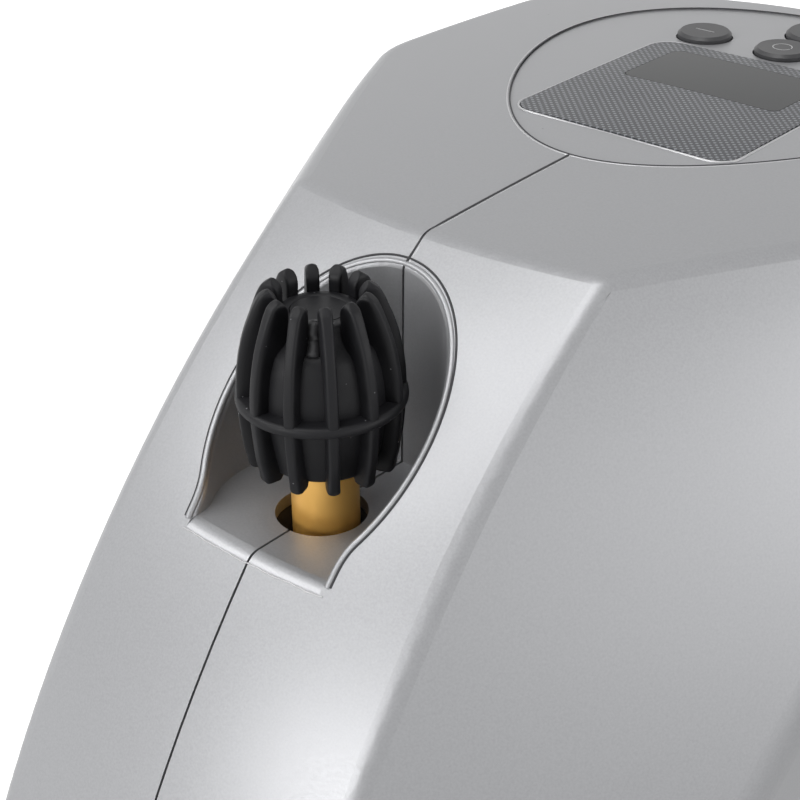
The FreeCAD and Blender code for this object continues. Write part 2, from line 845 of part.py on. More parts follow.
rocker_pivot_y = end_plate_y - 1.0
rocker_frame_depth = 15.0
trunnion_radius = 1.2
trunnion_reach = rocker_width / 2 + 1.1


def rear_plate():
    plate = end_plate_block(0, (end_plate_y - end_plate_thickness, end_plate_y), 1)
    width, length = rocker_width / 2 + 1.5, rocker_length / 2 + 1.5
    plate = plate.cut(box((rocker_x - width, rocker_x + width), (end_plate_y - 5, end_plate_y + 5),
                          (end_plate_z - length, end_plate_z + length)))
    return plate.cut(rod(7 + seat_gap, end_plate_y - 5, end_plate_y + 5, Y_AXIS, (inlet_x, end_plate_z)))


def rocker_box(width, length, y):
    return box((rocker_x - width, rocker_x + width), y, (end_plate_z - length, end_plate_z + length))


def rocker_frame():
    """Switch body: a box behind the plate with a bezel in front of it."""
    width, length = rocker_width / 2, rocker_length / 2
    bezel = rocker_box(width + 3, length + 3, (end_plate_y, end_plate_y + 1.8))
    body = rocker_box(width + 1.4, length + 1.4, (end_plate_y - rocker_frame_depth, end_plate_y + 1))
    well = rocker_box(width + loose_fit, length + loose_fit, (end_plate_y - 8.5, end_plate_y + 5))
    return fused([bezel, body]).cut([well, trunnion(seat_gap, running_fit)])


def trunnion(longer, wider):
    """The rocker's pivot across the switch. Made longer and wider, it is the hole in the frame."""
    reach = trunnion_reach + longer
    return rod(trunnion_radius + wider, rocker_x - reach, rocker_x + reach, X_AXIS, (rocker_pivot_y, end_plate_z))


def rocker_switch():
    """Rocker with a shallow V front, tilted to its off side about a pivot across the switch."""
    length = rocker_length / 2
    front, dip = 3.6, 2.2
    profile = [
        (0, rocker_pivot_y + dip, 0), (0, rocker_pivot_y + front, length - 0.6), (0, rocker_pivot_y + 1, length - 0.4),
        (0, rocker_pivot_y - 4.0, 3.5), (0, rocker_pivot_y - 4.0, -3.5), (0, rocker_pivot_y + 1, -length + 0.4),
        (0, rocker_pivot_y + front, -length + 0.6),
    ]
    rocker = polygon(profile).extrude(V(rocker_width, 0, 0))
    rocker.translate(V(rocker_x - rocker_width / 2, 0, end_plate_z))
    rocker = fused([rocker, trunnion(0, 0)])
    rocker.rotate(V(rocker_x, rocker_pivot_y, end_plate_z), X_AXIS, rocker_tilt)
    return rocker


def power_inlet():
    """Round 12 V inlet: a flange in front of the plate and a blind socket behind it."""
    place = (inlet_x, end_plate_z)
    flange = rod(9, end_plate_y, end_plate_y + 2, Y_AXIS, place)
    body = rod(7, end_plate_y - 14, end_plate_y + 1, Y_AXIS, place)
    socket = rod(inlet_radius, end_plate_y - 11, end_plate_y + 3, Y_AXIS, place)
    return fused([flange, body]).cut([socket, inlet_pin()])


def inlet_pin():
    return rod(inlet_pin_radius, end_plate_y - 13, end_plate_y - 1, Y_AXIS, (inlet_x, end_plate_z))


# Work light

def lamp_lens():
    """Clear lens: its rim is held between the shells, and its domed front fills the opening."""
    front = 0.2
    rim = rod(lamp_radius, lens_start, lens_start + lens_thickness, Y_AXIS)
    plug = rod(lamp_radius - lamp_rim - seat_gap, front, lens_start + 1, Y_AXIS)
    dome = Part.makeSphere(lamp_radius * 6, V(0, front + lamp_radius * 6, 0))
    return lamp_place(fused([rim, plug.common(dome)]))


def lamp_board():
    """Board with three light emitting diodes in front of it."""
    diode_radius, diode_height, diode_circle = 2.4, 3.0, 5.0
    start = lamp_board_start
    parts = [rod(lamp_radius, start, start + lamp_board_thickness, Y_AXIS)]
    for i in range(3):
        turn = math.radians(90 + 120 * i)
        place = (diode_circle * math.cos(turn), diode_circle * math.sin(turn))
        parts.append(prism(8, diode_radius, start - diode_height, start + 0.5, Y_AXIS, place))
    return lamp_place(fused(parts))


# Feet and case screws

def foot(x, y):
    """Rubber foot pushed into the floor, held by a barbed stem."""
    seat = foot_height + 1.5
    barb = foot_height + 5 + seat_gap
    return turned([
        (0, 0), (foot_radius - 0.5, 0), (foot_radius, seat), (foot_stem_radius, seat),
        (foot_stem_radius, barb), (foot_stem_radius + 0.8, barb), (foot_stem_radius - 0.4, barb + 2.4), (0, barb + 2.4),
    ], (x, y))


def case_screws():
    screws = []
    for place in screw_places:
        head = prism(12, screw_head_radius, -12, -9, X_AXIS, place)
        shank = prism(8, screw_radius, -9, 12, X_AXIS, place)
        screws.append(fused([head, shank]))
    return Part.makeCompound(screws)


# Motor

def gear_wheel(teeth, start, end, at_z, phase_deg):
    """Spur gear along Y. Each tooth has straight flanks from its foot to its narrow tip."""
    pitch_radius = gear_module * teeth / 2
    root = pitch_radius - 1.2 * gear_module
    tip = pitch_radius + 0.9 * gear_module
    step = 2 * math.pi / teeth
    phase = math.radians(phase_deg)
    shares = ((root, -0.34), (tip, -0.12), (tip, 0.12), (root, 0.34))
    points = []
    for i in range(teeth):
        for radius, share in shares:
            turn = phase + (i + share) * step
            points.append((radius * math.sin(turn), start, at_z + radius * math.cos(turn)))
    return polygon(points).extrude(V(0, end - start, 0))


def motor_can():
    """Drawn steel can, closed at the front with a bearing boss and open at the back."""
    end = motor_front + motor_length
    place = (0, motor_z)
    can = fused([rod(motor_radius, motor_front, end, Y_AXIS, place), rod(5, motor_front - 5, motor_front + 1, Y_AXIS, place)])
    can = can.cut(rod(motor_radius - motor_wall, motor_front + 2, end + 1, Y_AXIS, place))
    can = can.cut(rod(motor_shaft_radius + running_fit, motor_front - 6, motor_front + 3, Y_AXIS, place))
    for x in (-motor_screw_x, motor_screw_x):
        can = can.cut(rod(1.5, motor_front - 1, motor_front + 3, Y_AXIS, (x, motor_z)))
    return can


motor_screw_x = 9.0


def motor_end_cap():
    """Moulded cap that closes the can and carries the brushes' end of the shaft."""
    end = motor_front + motor_length
    place = (0, motor_z)
    cap = fused([
        rod(motor_radius - motor_wall, end - 4, end, Y_AXIS, place),
        rod(motor_radius, end, end + 2, Y_AXIS, place),
        rod(5.5, end, end + 5, Y_AXIS, place),
    ])
    cap = cap.cut(rod(motor_shaft_radius + running_fit, end - 5, end + 6, Y_AXIS, place))
    for x in (-10.0, 10.0):
        cap = cap.cut(box((x - 1.5, x + 1.5), (end - 5, end + 3), (motor_z - 4, motor_z + 4)))
    return cap


def motor_rotor():
    """Shaft with the slotted iron core and the commutator."""
    place = (0, motor_z)
    end = motor_front + motor_length
    core_start, core_end = motor_front + 9, end - 14
    core = rod(motor_radius - motor_wall - 1.5, core_start, core_end, Y_AXIS, place)
    slots = []
    for i in range(5):
        slot = box((-1.5, 1.5), (core_start - 1, core_end + 1), (7.0, motor_radius))
        slot.rotate(V(0, 0, 0), Y_AXIS, 72 * i)
        slot.translate(V(0, 0, motor_z))
        slots.append(slot)
    core = core.cut(slots)
    shaft = rod(motor_shaft_radius, gear_front - 1, end + 14, Y_AXIS, place)
    return fused([core, rod(4.5, core_end + 1, end - 5, Y_AXIS, place), shaft])


def cooling_fan():
    """Radial fan on the back end of the shaft."""
    start = motor_front + motor_length + 6
    place = (0, motor_z)
    parts = [rod(4.5, start, start + 6, Y_AXIS, place), rod(motor_radius - 1, start + 5, start + 6, Y_AXIS, place)]
    for i in range(7):
        blade = box((-0.6, 0.6), (start, start + 5.5), (3.5, motor_radius - 1.5))
        blade.rotate(V(0, 0, 0), Y_AXIS, 360.0 * i / 7)
        blade.translate(V(0, 0, motor_z))
        parts.append(blade)
    return fused(parts).cut(rod(motor_shaft_radius, start - 1, start + 7, Y_AXIS, place))


def pinion():
    wheel = gear_wheel(pinion_teeth, gear_front, gear_front + gear_width, motor_z, 180.0 / pinion_teeth)
    return wheel.cut(rod(motor_shaft_radius, gear_front - 1, gear_front + gear_width + 1, Y_AXIS, (0, motor_z)))


def motor_screws():
    screws = []
    for x in (-motor_screw_x, motor_screw_x):
        head = prism(8, 2.4, frame_plate_y - 1.8, frame_plate_y, Y_AXIS, (x, motor_z))
        shank = prism(6, 1.5, frame_plate_y, motor_front + 1.8, Y_AXIS, (x, motor_z))
        screws.append(fused([head, shank]))
    return Part.makeCompound(screws)


# Gear frame and crank

bearing_rear_y = frame_plate_y + 11.5


def gear_frame():
    """Cast frame: an upright plate for motor and gear, and a shelf with gussets for the cylinder."""
    plate_end = frame_plate_y + frame_plate_thickness
    plate = box((-frame_half_width, frame_half_width), (frame_plate_y, plate_end), (frame_bottom, shelf_z))
    shelf = box((-frame_half_width, frame_half_width), (pump_y - 19, plate_end), (shelf_z, shelf_z + shelf_thickness))
    gussets = []
    for x in (-frame_half_width, frame_half_width - 3):
        corner = polygon([(x, frame_plate_y + 1, shelf_z + 1), (x, pump_y - 16, shelf_z + 1), (x, frame_plate_y + 1, gear_z - 4)])
        gussets.append(corner.extrude(V(3, 0, 0)))
    housing_tube = rod(bearing_radius + 2, plate_end - 1, bearing_rear_y + bearing_width, Y_AXIS, (0, gear_z))
    frame = fused([plate, shelf, housing_tube] + gussets)
    frame = frame.cut(rod(5 + seat_gap, frame_plate_y - 1, plate_end + 1, Y_AXIS, (0, motor_z)))
    frame = frame.cut(rod(bearing_radius, frame_plate_y - 1, bearing_rear_y + bearing_width + 1, Y_AXIS, (0, gear_z)))
    for x in (-motor_screw_x, motor_screw_x):
        frame = frame.cut(rod(1.5, frame_plate_y - 1, plate_end + 1, Y_AXIS, (x, motor_z)))
    hole = rod(bore_radius + cylinder_wall + seat_gap, shelf_z - 1, shelf_z + shelf_thickness + 1, at=(0, pump_y))
    return frame.cut(hole)


def bearing(start):
    return ring(bearing_radius, crank_shaft_radius + running_fit, start, start + bearing_width, Y_AXIS, (0, gear_z))


def crank_shaft():
    return rod(crank_shaft_radius, gear_front + 2, bearing_rear_y + bearing_width + 1, Y_AXIS, (0, gear_z))


def crank_gear():
    """Big gear with five lightening holes and a counterweight opposite the crank pin."""
    end = gear_front + gear_width
    place = (0, gear_z)
    web = gear_wheel(gear_teeth, gear_front, end, gear_z, 0)
    for i in range(5):
        turn = math.radians(36 + 72 * i)
        centre = (13 * math.sin(turn), gear_z - 13 * math.cos(turn))
        web = web.cut(rod(3.2, gear_front - 1, end + 1, Y_AXIS, centre))
    half_ring = ring(17, 7, gear_front - 2.5, gear_front, Y_AXIS, place)
    weight = half_ring.common(box((-20, 20), (gear_front - 3, gear_front), (gear_z + 2, gear_z + 20)))
    gear = fused([web, weight])
    gear = gear.cut(rod(crank_shaft_radius, gear_front + 2, end + 1, Y_AXIS, place))
    return gear.cut(rod(crank_pin_radius, gear_front - 1, gear_front + 5, Y_AXIS, (0, gear_z - crank_radius)))


crank_pin_gap = 0.4


def crank_pin():
    """Pin pressed into the gear. It stops just short of the rod, which is where the linkage is opened."""
    start = pump_y + rod_width / 2 + crank_pin_gap
    return rod(crank_pin_radius, start, gear_front + 5, Y_AXIS, (0, gear_z - crank_radius))


# Pump

def connecting_rod():
    """Rod with a small eye on the wrist pin and a big eye for the crank bearing."""
    crank_z = gear_z - crank_radius
    half = rod_width / 2
    small = rod(4, pump_y - 2.5, pump_y + 2.5, Y_AXIS, (0, wrist_z))
    big = rod(6.8, pump_y - half, pump_y + half, Y_AXIS, (0, crank_z))
    shank = polygon([(-3.4, pump_y - 2, crank_z), (3.4, pump_y - 2, crank_z), (2.4, pump_y - 2, wrist_z),
                     (-2.4, pump_y - 2, wrist_z)]).extrude(V(0, 4, 0))
    whole = fused([small, big, shank])
    whole = whole.cut(rod(wrist_pin_radius + running_fit, pump_y - 5, pump_y + 5, Y_AXIS, (0, wrist_z)))
    return whole.cut(rod(5, pump_y - 5, pump_y + 5, Y_AXIS, (0, crank_z)))


def rod_bearing():
    half = rod_width / 2
    place = (0, gear_z - crank_radius)
    return ring(5, crank_pin_radius + running_fit, pump_y - half, pump_y + half, Y_AXIS, place)


def wrist_pin():
    return rod(wrist_pin_radius, pump_y - 8.5, pump_y + 8.5, Y_AXIS, (0, wrist_z))


piston_bottom = wrist_z - 4.0
ring_groove = (6.5, 8.0)


def piston():
    """Cup piston with a groove for its ring, and a slot inside for the rod's small eye."""
    top = piston_bottom + piston_height
    body = rod(bore_radius - 2 * running_fit, piston_bottom, top, at=(0, pump_y))
    slot = box((-8, 8), (pump_y - 3, pump_y + 3), (piston_bottom - 1, top - 1.8))
    slot = slot.common(rod(8, piston_bottom - 1, top, at=(0, pump_y)))
    groove = ring(bore_radius + 1, bore_radius - 1.4, piston_bottom + ring_groove[0], piston_bottom + ring_groove[1],
                  at=(0, pump_y))
    body = body.cut(slot).cut(groove)
    return body.cut(rod(wrist_pin_radius, pump_y - 12, pump_y + 12, Y_AXIS, (0, wrist_z)))


def piston_ring():
    return ring(bore_radius - running_fit, bore_radius - 1.4, piston_bottom + ring_groove[0],
                piston_bottom + ring_groove[1], at=(0, pump_y))


cylinder_top = shelf_z + cylinder_height


def head_plate(bottom, top):
    half = head_half_width
    return rounded_block((-half, half), (pump_y - half, pump_y + half), (bottom, top), 3)


def head_holes(shape, bottom, top, radius=1.5):
    for x in (-head_screw_offset, head_screw_offset):
        for y in (-head_screw_offset, head_screw_offset):
            shape = shape.cut(rod(radius, bottom - 1, top + 1, at=(x, pump_y + y)))
    return shape


def cylinder():
    """Finned cylinder that stands on the shelf and reaches through it."""
    outer = bore_radius + cylinder_wall
    foot_z = shelf_z + shelf_thickness
    parts = [
        rod(outer, shelf_z, cylinder_top, at=(0, pump_y)),
        head_plate(foot_z, foot_z + 2.5),
        head_plate(cylinder_top - 2.5, cylinder_top),
    ]
    first_fin, last_fin = foot_z + 5, cylinder_top - 5.5
    for i in range(fin_count):
        z = first_fin + (last_fin - first_fin) * i / (fin_count - 1)
        parts.append(rod(fin_radius, z - 0.6, z + 0.6, at=(0, pump_y)))
    barrel = fused(parts).cut(rod(bore_radius, shelf_z - 1, cylinder_top + 1, at=(0, pump_y)))
    return head_holes(barrel, cylinder_top - 6, cylinder_top)


gasket_thickness = 0.6
reed_thickness = 0.4
head_bottom = cylinder_top + gasket_thickness + reed_thickness
head_top = head_bottom + head_height


def cylinder_gasket():
    sheet = head_plate(cylinder_top, cylinder_top + gasket_thickness)
    sheet = sheet.cut(rod(bore_radius, cylinder_top - 1, cylinder_top + 2, at=(0, pump_y)))
    return head_holes(sheet, cylinder_top, cylinder_top + 1)


def reed_valve():
    """Spring steel sheet with a tongue over the outlet and a hole for the inlet."""
    bottom = cylinder_top + gasket_thickness
    sheet = head_plate(bottom, bottom + reed_thickness)
    for x in (2.0, 6.5):
        sheet = sheet.cut(box((x, x + 0.5), (pump_y - 5, pump_y + 5), (bottom - 1, bottom + 2)))
    sheet = sheet.cut(box((2, 7), (pump_y + 5, pump_y + 5.5), (bottom - 1, bottom + 2)))
    sheet = sheet.cut(rod(1.8, bottom - 1, bottom + 2, at=(-5, pump_y)))
    return head_holes(sheet, bottom, bottom + 1)


def cylinder_head():
    """Head with a pressure chamber, five cooling fins and a side port."""
    base = head_plate(head_bottom, head_top - 3)
    parts = [base]
    for i in range(5):
        x = -8.0 + 4.0 * i
        parts.append(box((x - 0.8, x + 0.8), (pump_y - 14, pump_y + 14), (head_top - 4, head_top)))
    head = fused(parts).cut(rod(8, head_bottom - 1, head_bottom + 2.5, at=(0, pump_y)))
    head = head.cut(rod(2.0, -head_half_width - 1, -4, X_AXIS, (pump_y, head_bottom + 2.5)))
    return head_holes(head, head_bottom, head_top)


def head_screws():
    screws = []
    seat = head_top - 3
    for x in (-head_screw_offset, head_screw_offset):
        for y in (-head_screw_offset, head_screw_offset):
            place = (x, pump_y + y)
            shank = prism(6, 1.5, cylinder_top - 2.5, seat, at=place)
            screws.append(fused([shank, prism(8, 2.7, seat, seat + 2, at=place)]))
    return Part.makeCompound(screws)


def air_outlet():
    """Brass fitting in the head's side, with barbs for the inner hose."""
    z = head_bottom + 2.5
    start = -head_half_width
    parts = [rod(2.0, start, start + 5, X_AXIS, (pump_y, z)), rod(3.0, start - 3, start, X_AXIS, (pump_y, z))]
    parts.append(rod(1.9, start - 15, start - 2, X_AXIS, (pump_y, z)))
    for i in range(2):
        tip = V(start - 15 + 5 * i, pump_y, z)
        parts.append(Part.makeCone(1.9, 2.5, 4, tip, X_AXIS))
    return fused(parts).cut(rod(1.1, start - 16, start + 6, X_AXIS, (pump_y, z)))


# Writing the pieces out

def pieces():
    whole = housing()
    left_space = box((-far, -seam_gap / 2), (-far, far), (-5, far))
    right_space = box((seam_gap / 2, far), (-far, far), (-5, far))
    made = {
        "left_shell": whole.common(left_space),
        "right_shell": whole.common(right_space).fuse(seam_lip()).removeSplitter(),
        "display_panel": display_panel(),
        "display_overlay": display_overlay(),
        "lcd_window": lcd_window(),
        "lcd_module": lcd_module(),
        "control_board": control_board(),
        "board_screws": board_screws(),
        "key_switches": key_switches(),
        "rear_plate": rear_plate(),
        "rocker_frame": rocker_frame(),
        "rocker_switch": rocker_switch(),
        "power_inlet": power_inlet(),
        "inlet_pin": inlet_pin(),
        "lamp_lens": lamp_lens(),
        "lamp_board": lamp_board(),
        "case_screws": case_screws(),
        "chuck_dock": chuck_dock(),
        "chuck_grip": chuck_grip(),
        "chuck_barrel": chuck_barrel(),
        "chuck_seal": chuck_seal(),
        "valve_pin": valve_pin(),
        "mouth_plug": mouth_plug(),
        "swivel_tail": swivel_tail(),
        "motor_can": motor_can(),
        "motor_end_cap": motor_end_cap(),
        "motor_rotor": motor_rotor(),
        "cooling_fan": cooling_fan(),
        "pinion": pinion(),
        "motor_screws": motor_screws(),
        "gear_frame": gear_frame(),
        "front_bearing": bearing(frame_plate_y),
        "rear_bearing": bearing(bearing_rear_y),
        "crank_shaft": crank_shaft(),
        "crank_gear": crank_gear(),
        "crank_pin": crank_pin(),
        "connecting_rod": connecting_rod(),
        "rod_bearing": rod_bearing(),
        "wrist_pin": wrist_pin(),
        "piston": piston(),
        "piston_ring": piston_ring(),
        "cylinder": cylinder(),
        "cylinder_gasket": cylinder_gasket(),
        "reed_valve": reed_valve(),
        "cylinder_head": cylinder_head(),
        "head_screws": head_screws(),
        "air_outlet": air_outlet(),
    }
    for name, x, y, radius in keys:
        made[name] = key_cap(x, y, radius)
    for corner, x, y in foot_places:
        made["foot_" + corner] = foot(x, y)
    return made


made = pieces()
os.makedirs("parts", exist_ok=True)
outline = made["left_shell"].optimalBoundingBox(False, False)
to_middle = V(0, -(outline.YMin + outline.YMax) / 2, 0)
print("moved along Y by", round(to_middle.y, 3))
for name, shape in made.items():
    shape.translate(to_middle)
    shape.exportStep("parts/" + name + ".step")
    print(name, "valid", shape.isValid(), "solids", len(shape.Solids), "volume", round(shape.Volume, 1))
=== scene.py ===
import math

import bpy
import numpy as np
from mathutils import Matrix, Vector


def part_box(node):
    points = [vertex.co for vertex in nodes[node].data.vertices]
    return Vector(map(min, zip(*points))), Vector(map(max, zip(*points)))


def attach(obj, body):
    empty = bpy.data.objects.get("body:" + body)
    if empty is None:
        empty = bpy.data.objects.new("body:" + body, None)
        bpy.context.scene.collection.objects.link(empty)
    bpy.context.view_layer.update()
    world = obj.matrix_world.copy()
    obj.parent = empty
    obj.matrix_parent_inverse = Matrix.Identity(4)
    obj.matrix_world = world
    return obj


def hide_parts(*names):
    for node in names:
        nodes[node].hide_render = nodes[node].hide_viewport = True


# Portable tire inflator, seen close from the front right and above. The frame is the CAD model's, in metres:
# -Y is the nose and +Z is up.

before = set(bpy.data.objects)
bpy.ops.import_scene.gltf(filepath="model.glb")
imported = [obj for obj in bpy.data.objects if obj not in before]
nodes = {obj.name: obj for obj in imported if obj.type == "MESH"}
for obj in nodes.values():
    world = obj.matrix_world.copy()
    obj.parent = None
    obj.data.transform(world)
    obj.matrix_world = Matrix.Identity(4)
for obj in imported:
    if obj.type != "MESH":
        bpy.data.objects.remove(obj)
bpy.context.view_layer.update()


# Camera: it looks down past the valve connector at the hole in the niche's ledge, and its place counts from
# that hole. Place, turns and focal length were solved from the seam, the ledge and the housing's ridges.

barrel_low, barrel_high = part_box("chuck_barrel")
chuck_x = (barrel_low.x + barrel_high.x) / 2
chuck_y = (barrel_low.y + barrel_high.y) / 2
hole_y = chuck_y - 0.001
ledge_z = 0.082
camera_x, camera_y, camera_z = 0.1707, -0.1766, 0.1573
camera_azimuth = 41.05
camera_down = 29.22
camera_roll = -0.70

camera_data = bpy.data.cameras.new("camera")
camera_data.sensor_width = 36.0
camera_data.lens = 81.54
camera_data.clip_start = 0.01
camera = bpy.data.objects.new("camera", camera_data)
bpy.context.scene.collection.objects.link(camera)
place = Matrix.Translation(Vector((camera_x, hole_y + camera_y, ledge_z + camera_z)))
azimuth = Matrix.Rotation(math.radians(camera_azimuth), 4, "Z")
tilt = Matrix.Rotation(math.radians(90 - camera_down), 4, "X")
roll = Matrix.Rotation(math.radians(camera_roll), 4, "Z")
camera.matrix_world = place @ azimuth @ tilt @ roll
bpy.context.scene.camera = camera
bpy.context.scene.view_settings.view_transform = "Standard"


# Housing: two moulded shells in silver paint, screwed together on a seam along the middle. The paint has a
# fine metal flake, a faint ripple and a few specks of dust. The display panel on top wears the same paint.

def add_node(tree, kind, feeds=(), **options):
    """A shader node with its options set. feeds maps inputs, by name or number, to a socket or a value."""
    node = tree.nodes.new("ShaderNode" + kind)
    for option, value in options.items():
        setattr(node, option, value)
    for place, source in dict(feeds).items():
        if isinstance(source, bpy.types.NodeSocket):
            tree.links.new(source, node.inputs[place])
        else:
            node.inputs[place].default_value = source
    return node


def calculated(tree, operation, first, second):
    """The result of one Math operation on two sockets or values."""
    return add_node(tree, "Math", {0: first, 1: second}, operation=operation).outputs["Value"]


def mixed_colour(tree, share, under, over):
    """The colour under + share (over - under), each a socket or a value. A Mix node has its colours on inputs
    6 and 7 and on output 2."""
    return add_node(tree, "Mix", {0: share, 6: under, 7: over}, data_type="RGBA").outputs[2]


def new_group(name, inputs, outputs):
    """A node group from inputs (kind, name, default) and outputs (kind, name), and the sockets inside it."""
    group = bpy.data.node_groups.new(name, "ShaderNodeTree")
    for kind, socket, default in inputs:
        made = group.interface.new_socket(socket, in_out="INPUT", socket_type="NodeSocket" + kind)
        made.default_value = default
    for kind, socket in outputs:
        group.interface.new_socket(socket, in_out="OUTPUT", socket_type="NodeSocket" + kind)
    given = group.nodes.new("NodeGroupInput").outputs
    result = group.nodes.new("NodeGroupOutput").inputs
    return group, given, result


# Fine grain: bump from noise at one scale
grain_group, given, result = new_group(
    "grain",
    [("Float", "Scale", 800.0), ("Float", "Strength", 0.2), ("Float", "Depth", 0.00005)],
    [("Vector", "Normal")])
coordinates = add_node(grain_group, "TexCoord").outputs["Object"]
noise = add_node(grain_group, "TexNoise", {"Vector": coordinates, "Scale": given["Scale"], "Detail": 4.0})
bump = add_node(grain_group, "Bump", {
    "Height": noise.outputs["Fac"], "Strength": given["Strength"], "Distance": given["Depth"]})
grain_group.links.new(bump.outputs["Normal"], result["Normal"])

# Variation: a colour that drifts between two shades, and a value that drifts between two amounts. The noise
# seldom leaves the range from 0.3 to 0.7.
noise_low, noise_high = 0.3, 0.7
variation_group, given, result = new_group(
    "variation",
    [("Color", "Shade A", (0.5, 0.5, 0.5, 1)), ("Color", "Shade B", (0.6, 0.6, 0.6, 1)),
     ("Float", "Low", 0.3), ("Float", "High", 0.4), ("Float", "Scale", 20.0)],
    [("Color", "Color"), ("Float", "Value")])
coordinates = add_node(variation_group, "TexCoord").outputs["Object"]
noise = add_node(variation_group, "TexNoise", {"Vector": coordinates, "Scale": given["Scale"], "Detail": 3.0})
shade = mixed_colour(variation_group, noise.outputs["Fac"], given["Shade A"], given["Shade B"])
spread = add_node(variation_group, "MapRange", {
    "Value": noise.outputs["Fac"], "From Min": noise_low, "From Max": noise_high, "To Min": given["Low"],
    "To Max": given["High"]})
variation_group.links.new(shade, result["Color"])
variation_group.links.new(spread.outputs["Result"], result["Value"])

# Specks: a mask of small dots, each in the middle of one cell of a scatter of points. Few cells have one.
speck_group, given, result = new_group(
    "specks",
    [("Float", "Scale", 700.0), ("Float", "Size", 0.16), ("Float", "Share", 0.03)],
    [("Float", "Mask")])
coordinates = add_node(speck_group, "TexCoord").outputs["Object"]
cells = add_node(speck_group, "TexVoronoi", {"Vector": coordinates, "Scale": given["Scale"]})
cell_draw = add_node(speck_group, "SeparateColor", {"Color": cells.outputs["Color"]}).outputs["Red"]
inside = calculated(speck_group, "LESS_THAN", cells.outputs["Distance"], given["Size"])
chosen = calculated(speck_group, "LESS_THAN", cell_draw, given["Share"])
speck_group.links.new(calculated(speck_group, "MULTIPLY", inside, chosen), result["Mask"])


def new_finish(name, **plain):
    """A material with a Principled shader, and the shader. plain sets its sockets, with _ for a space."""
    finish = bpy.data.materials.new(name)
    finish.use_nodes = True
    shader = finish.node_tree.nodes["Principled BSDF"]
    for socket, value in plain.items():
        shader.inputs[socket.replace("_", " ")].default_value = value
    return finish, shader


def drifting(tree, shader, shades, roughness, scale):
    """Drives a shader's roughness between two amounts. Returns a colour that drifts between two shades."""
    drift = add_node(tree, "Group", {
        "Shade A": shades[0] + (1,), "Shade B": shades[1] + (1,), "Low": roughness[0], "High": roughness[1],
        "Scale": scale}, node_tree=variation_group)
    tree.links.new(drift.outputs["Value"], shader.inputs["Roughness"])
    return drift.outputs["Color"]


def grained(name, shades, roughness, grain, scale=60.0, **plain):
    """Painted, moulded or cast stuff: two close shades, a roughness range, and grain as (scale, strength,
    depth). Other values go to the shader's own sockets."""
    finish, shader = new_finish(name, **plain)
    tree = finish.node_tree
    tree.links.new(drifting(tree, shader, shades, roughness, scale), shader.inputs["Base Color"])
    relief = add_node(tree, "Group", dict(zip(("Scale", "Strength", "Depth"), grain)), node_tree=grain_group)
    tree.links.new(relief.outputs["Normal"], shader.inputs["Normal"])
    return finish


def speckle(finish, colour, **values):
    """Mixes specks of a colour over whatever feeds the base colour already."""
    tree = finish.node_tree
    base = tree.nodes["Principled BSDF"].inputs["Base Color"]
    specks = add_node(tree, "Group", values, node_tree=speck_group)
    speckled = mixed_colour(tree, specks.outputs["Mask"], base.links[0].from_socket, colour + (1,))
    tree.links.new(speckled, base)


def dress(finish, *names):
    """Gives CAD nodes a material."""
    for name in names:
        nodes[name].data.materials.clear()
        nodes[name].data.materials.append(finish)


paint = grained("silver_paint", [(0.315, 0.318, 0.33), (0.425, 0.428, 0.44)], (0.34, 0.44),
                (800.0, 0.2, 0.00006), scale=2600.0, Metallic=0.42, Coat_Weight=0.05, Coat_Roughness=0.35)
speckle(paint, (0.25, 0.25, 0.26), Scale=260.0, Size=0.07, Share=0.012)
dress(paint, "left_shell", "right_shell", "display_panel")


# Niche rim: the niche is a drafted pocket in the front facet, with a ledge for the valve connector. A dark line
# runs round it with a rounded bevel inside, and a fine line of flash under the ledge's edge, in a lighter
# silver than the housing as a painted highlight. Sizes are millimetres round the ledge's hole, up from the
# ledge, and the radii of the lines are metres.

facet_arc = 240.0
facet_lean = math.radians(39.76)
facet_axis_y = 132.0
ledge_front_y = -16.0
facet_arc_y = ledge_front_y + facet_arc * math.cos(facet_lean)
facet_arc_drop = facet_arc * math.sin(facet_lean)
niche_radius = 18.7
niche_back = 1.0
niche_half_width = 14.4
niche_flare = 8.0
niche_throat = 1.6
niche_draft = math.radians(1.5)
niche_samples = 240
back_share, flare_share = 0.7, 0.22
niche_gap_out, niche_gap_radius = 1.35, 0.0002
niche_bevel_out, niche_bevel_sunk, niche_bevel_radius = 0.75, 0.4, 0.00055
witness_half_length, witness_below, witness_radius = 15.2, 1.3, 0.00013


def grid(points, wrap_rows=False, wrap_columns=True, caps=False):
    """Vertices and quads over a grid of points, rows by columns. caps closes the first and last row."""
    rows, columns = points.shape[:2]
    row = np.arange(rows if wrap_rows else rows - 1)[:, None] * columns
    column = np.arange(columns if wrap_columns else columns - 1)[None, :]
    next_row = (row + columns) % (rows * columns)
    next_column = (column + 1) % columns
    corners = [row + column, row + next_column, next_row + next_column, next_row + column]
    faces = np.stack(corners, axis=-1).reshape(-1, 4).tolist()
    if caps:
        faces.append(list(range(columns))[::-1])
        faces.append(list(range((rows - 1) * columns, rows * columns)))
    return points.reshape(-1, 3), faces


def smooth_mesh(name, *surfaces):
    """One smooth mesh from surfaces, each a pair of vertices and faces."""
    faces = []
    counted = 0
    for vertices, own_faces in surfaces:
        faces += [[counted + corner for corner in face] for face in own_faces]
        counted += len(vertices)
    mesh = bpy.data.meshes.new(name)
    mesh.from_pydata(np.concatenate([vertices for vertices, _ in surfaces]).tolist(), [], faces)
    mesh.validate()
    mesh.polygons.foreach_set("use_smooth", [True] * len(mesh.polygons))
    return mesh


def piece(name, surfaces, finish, body, replaced=()):
    """An object of one or more surfaces that rides on a body and may stand for CAD nodes."""
    mesh = smooth_mesh(name, *surfaces)
    mesh.materials.append(finish)
    obj = bpy.data.objects.new(name, mesh)
    bpy.context.scene.collection.objects.link(obj)
    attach(obj, body)
    if replaced:
        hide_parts(*replaced)
    return obj


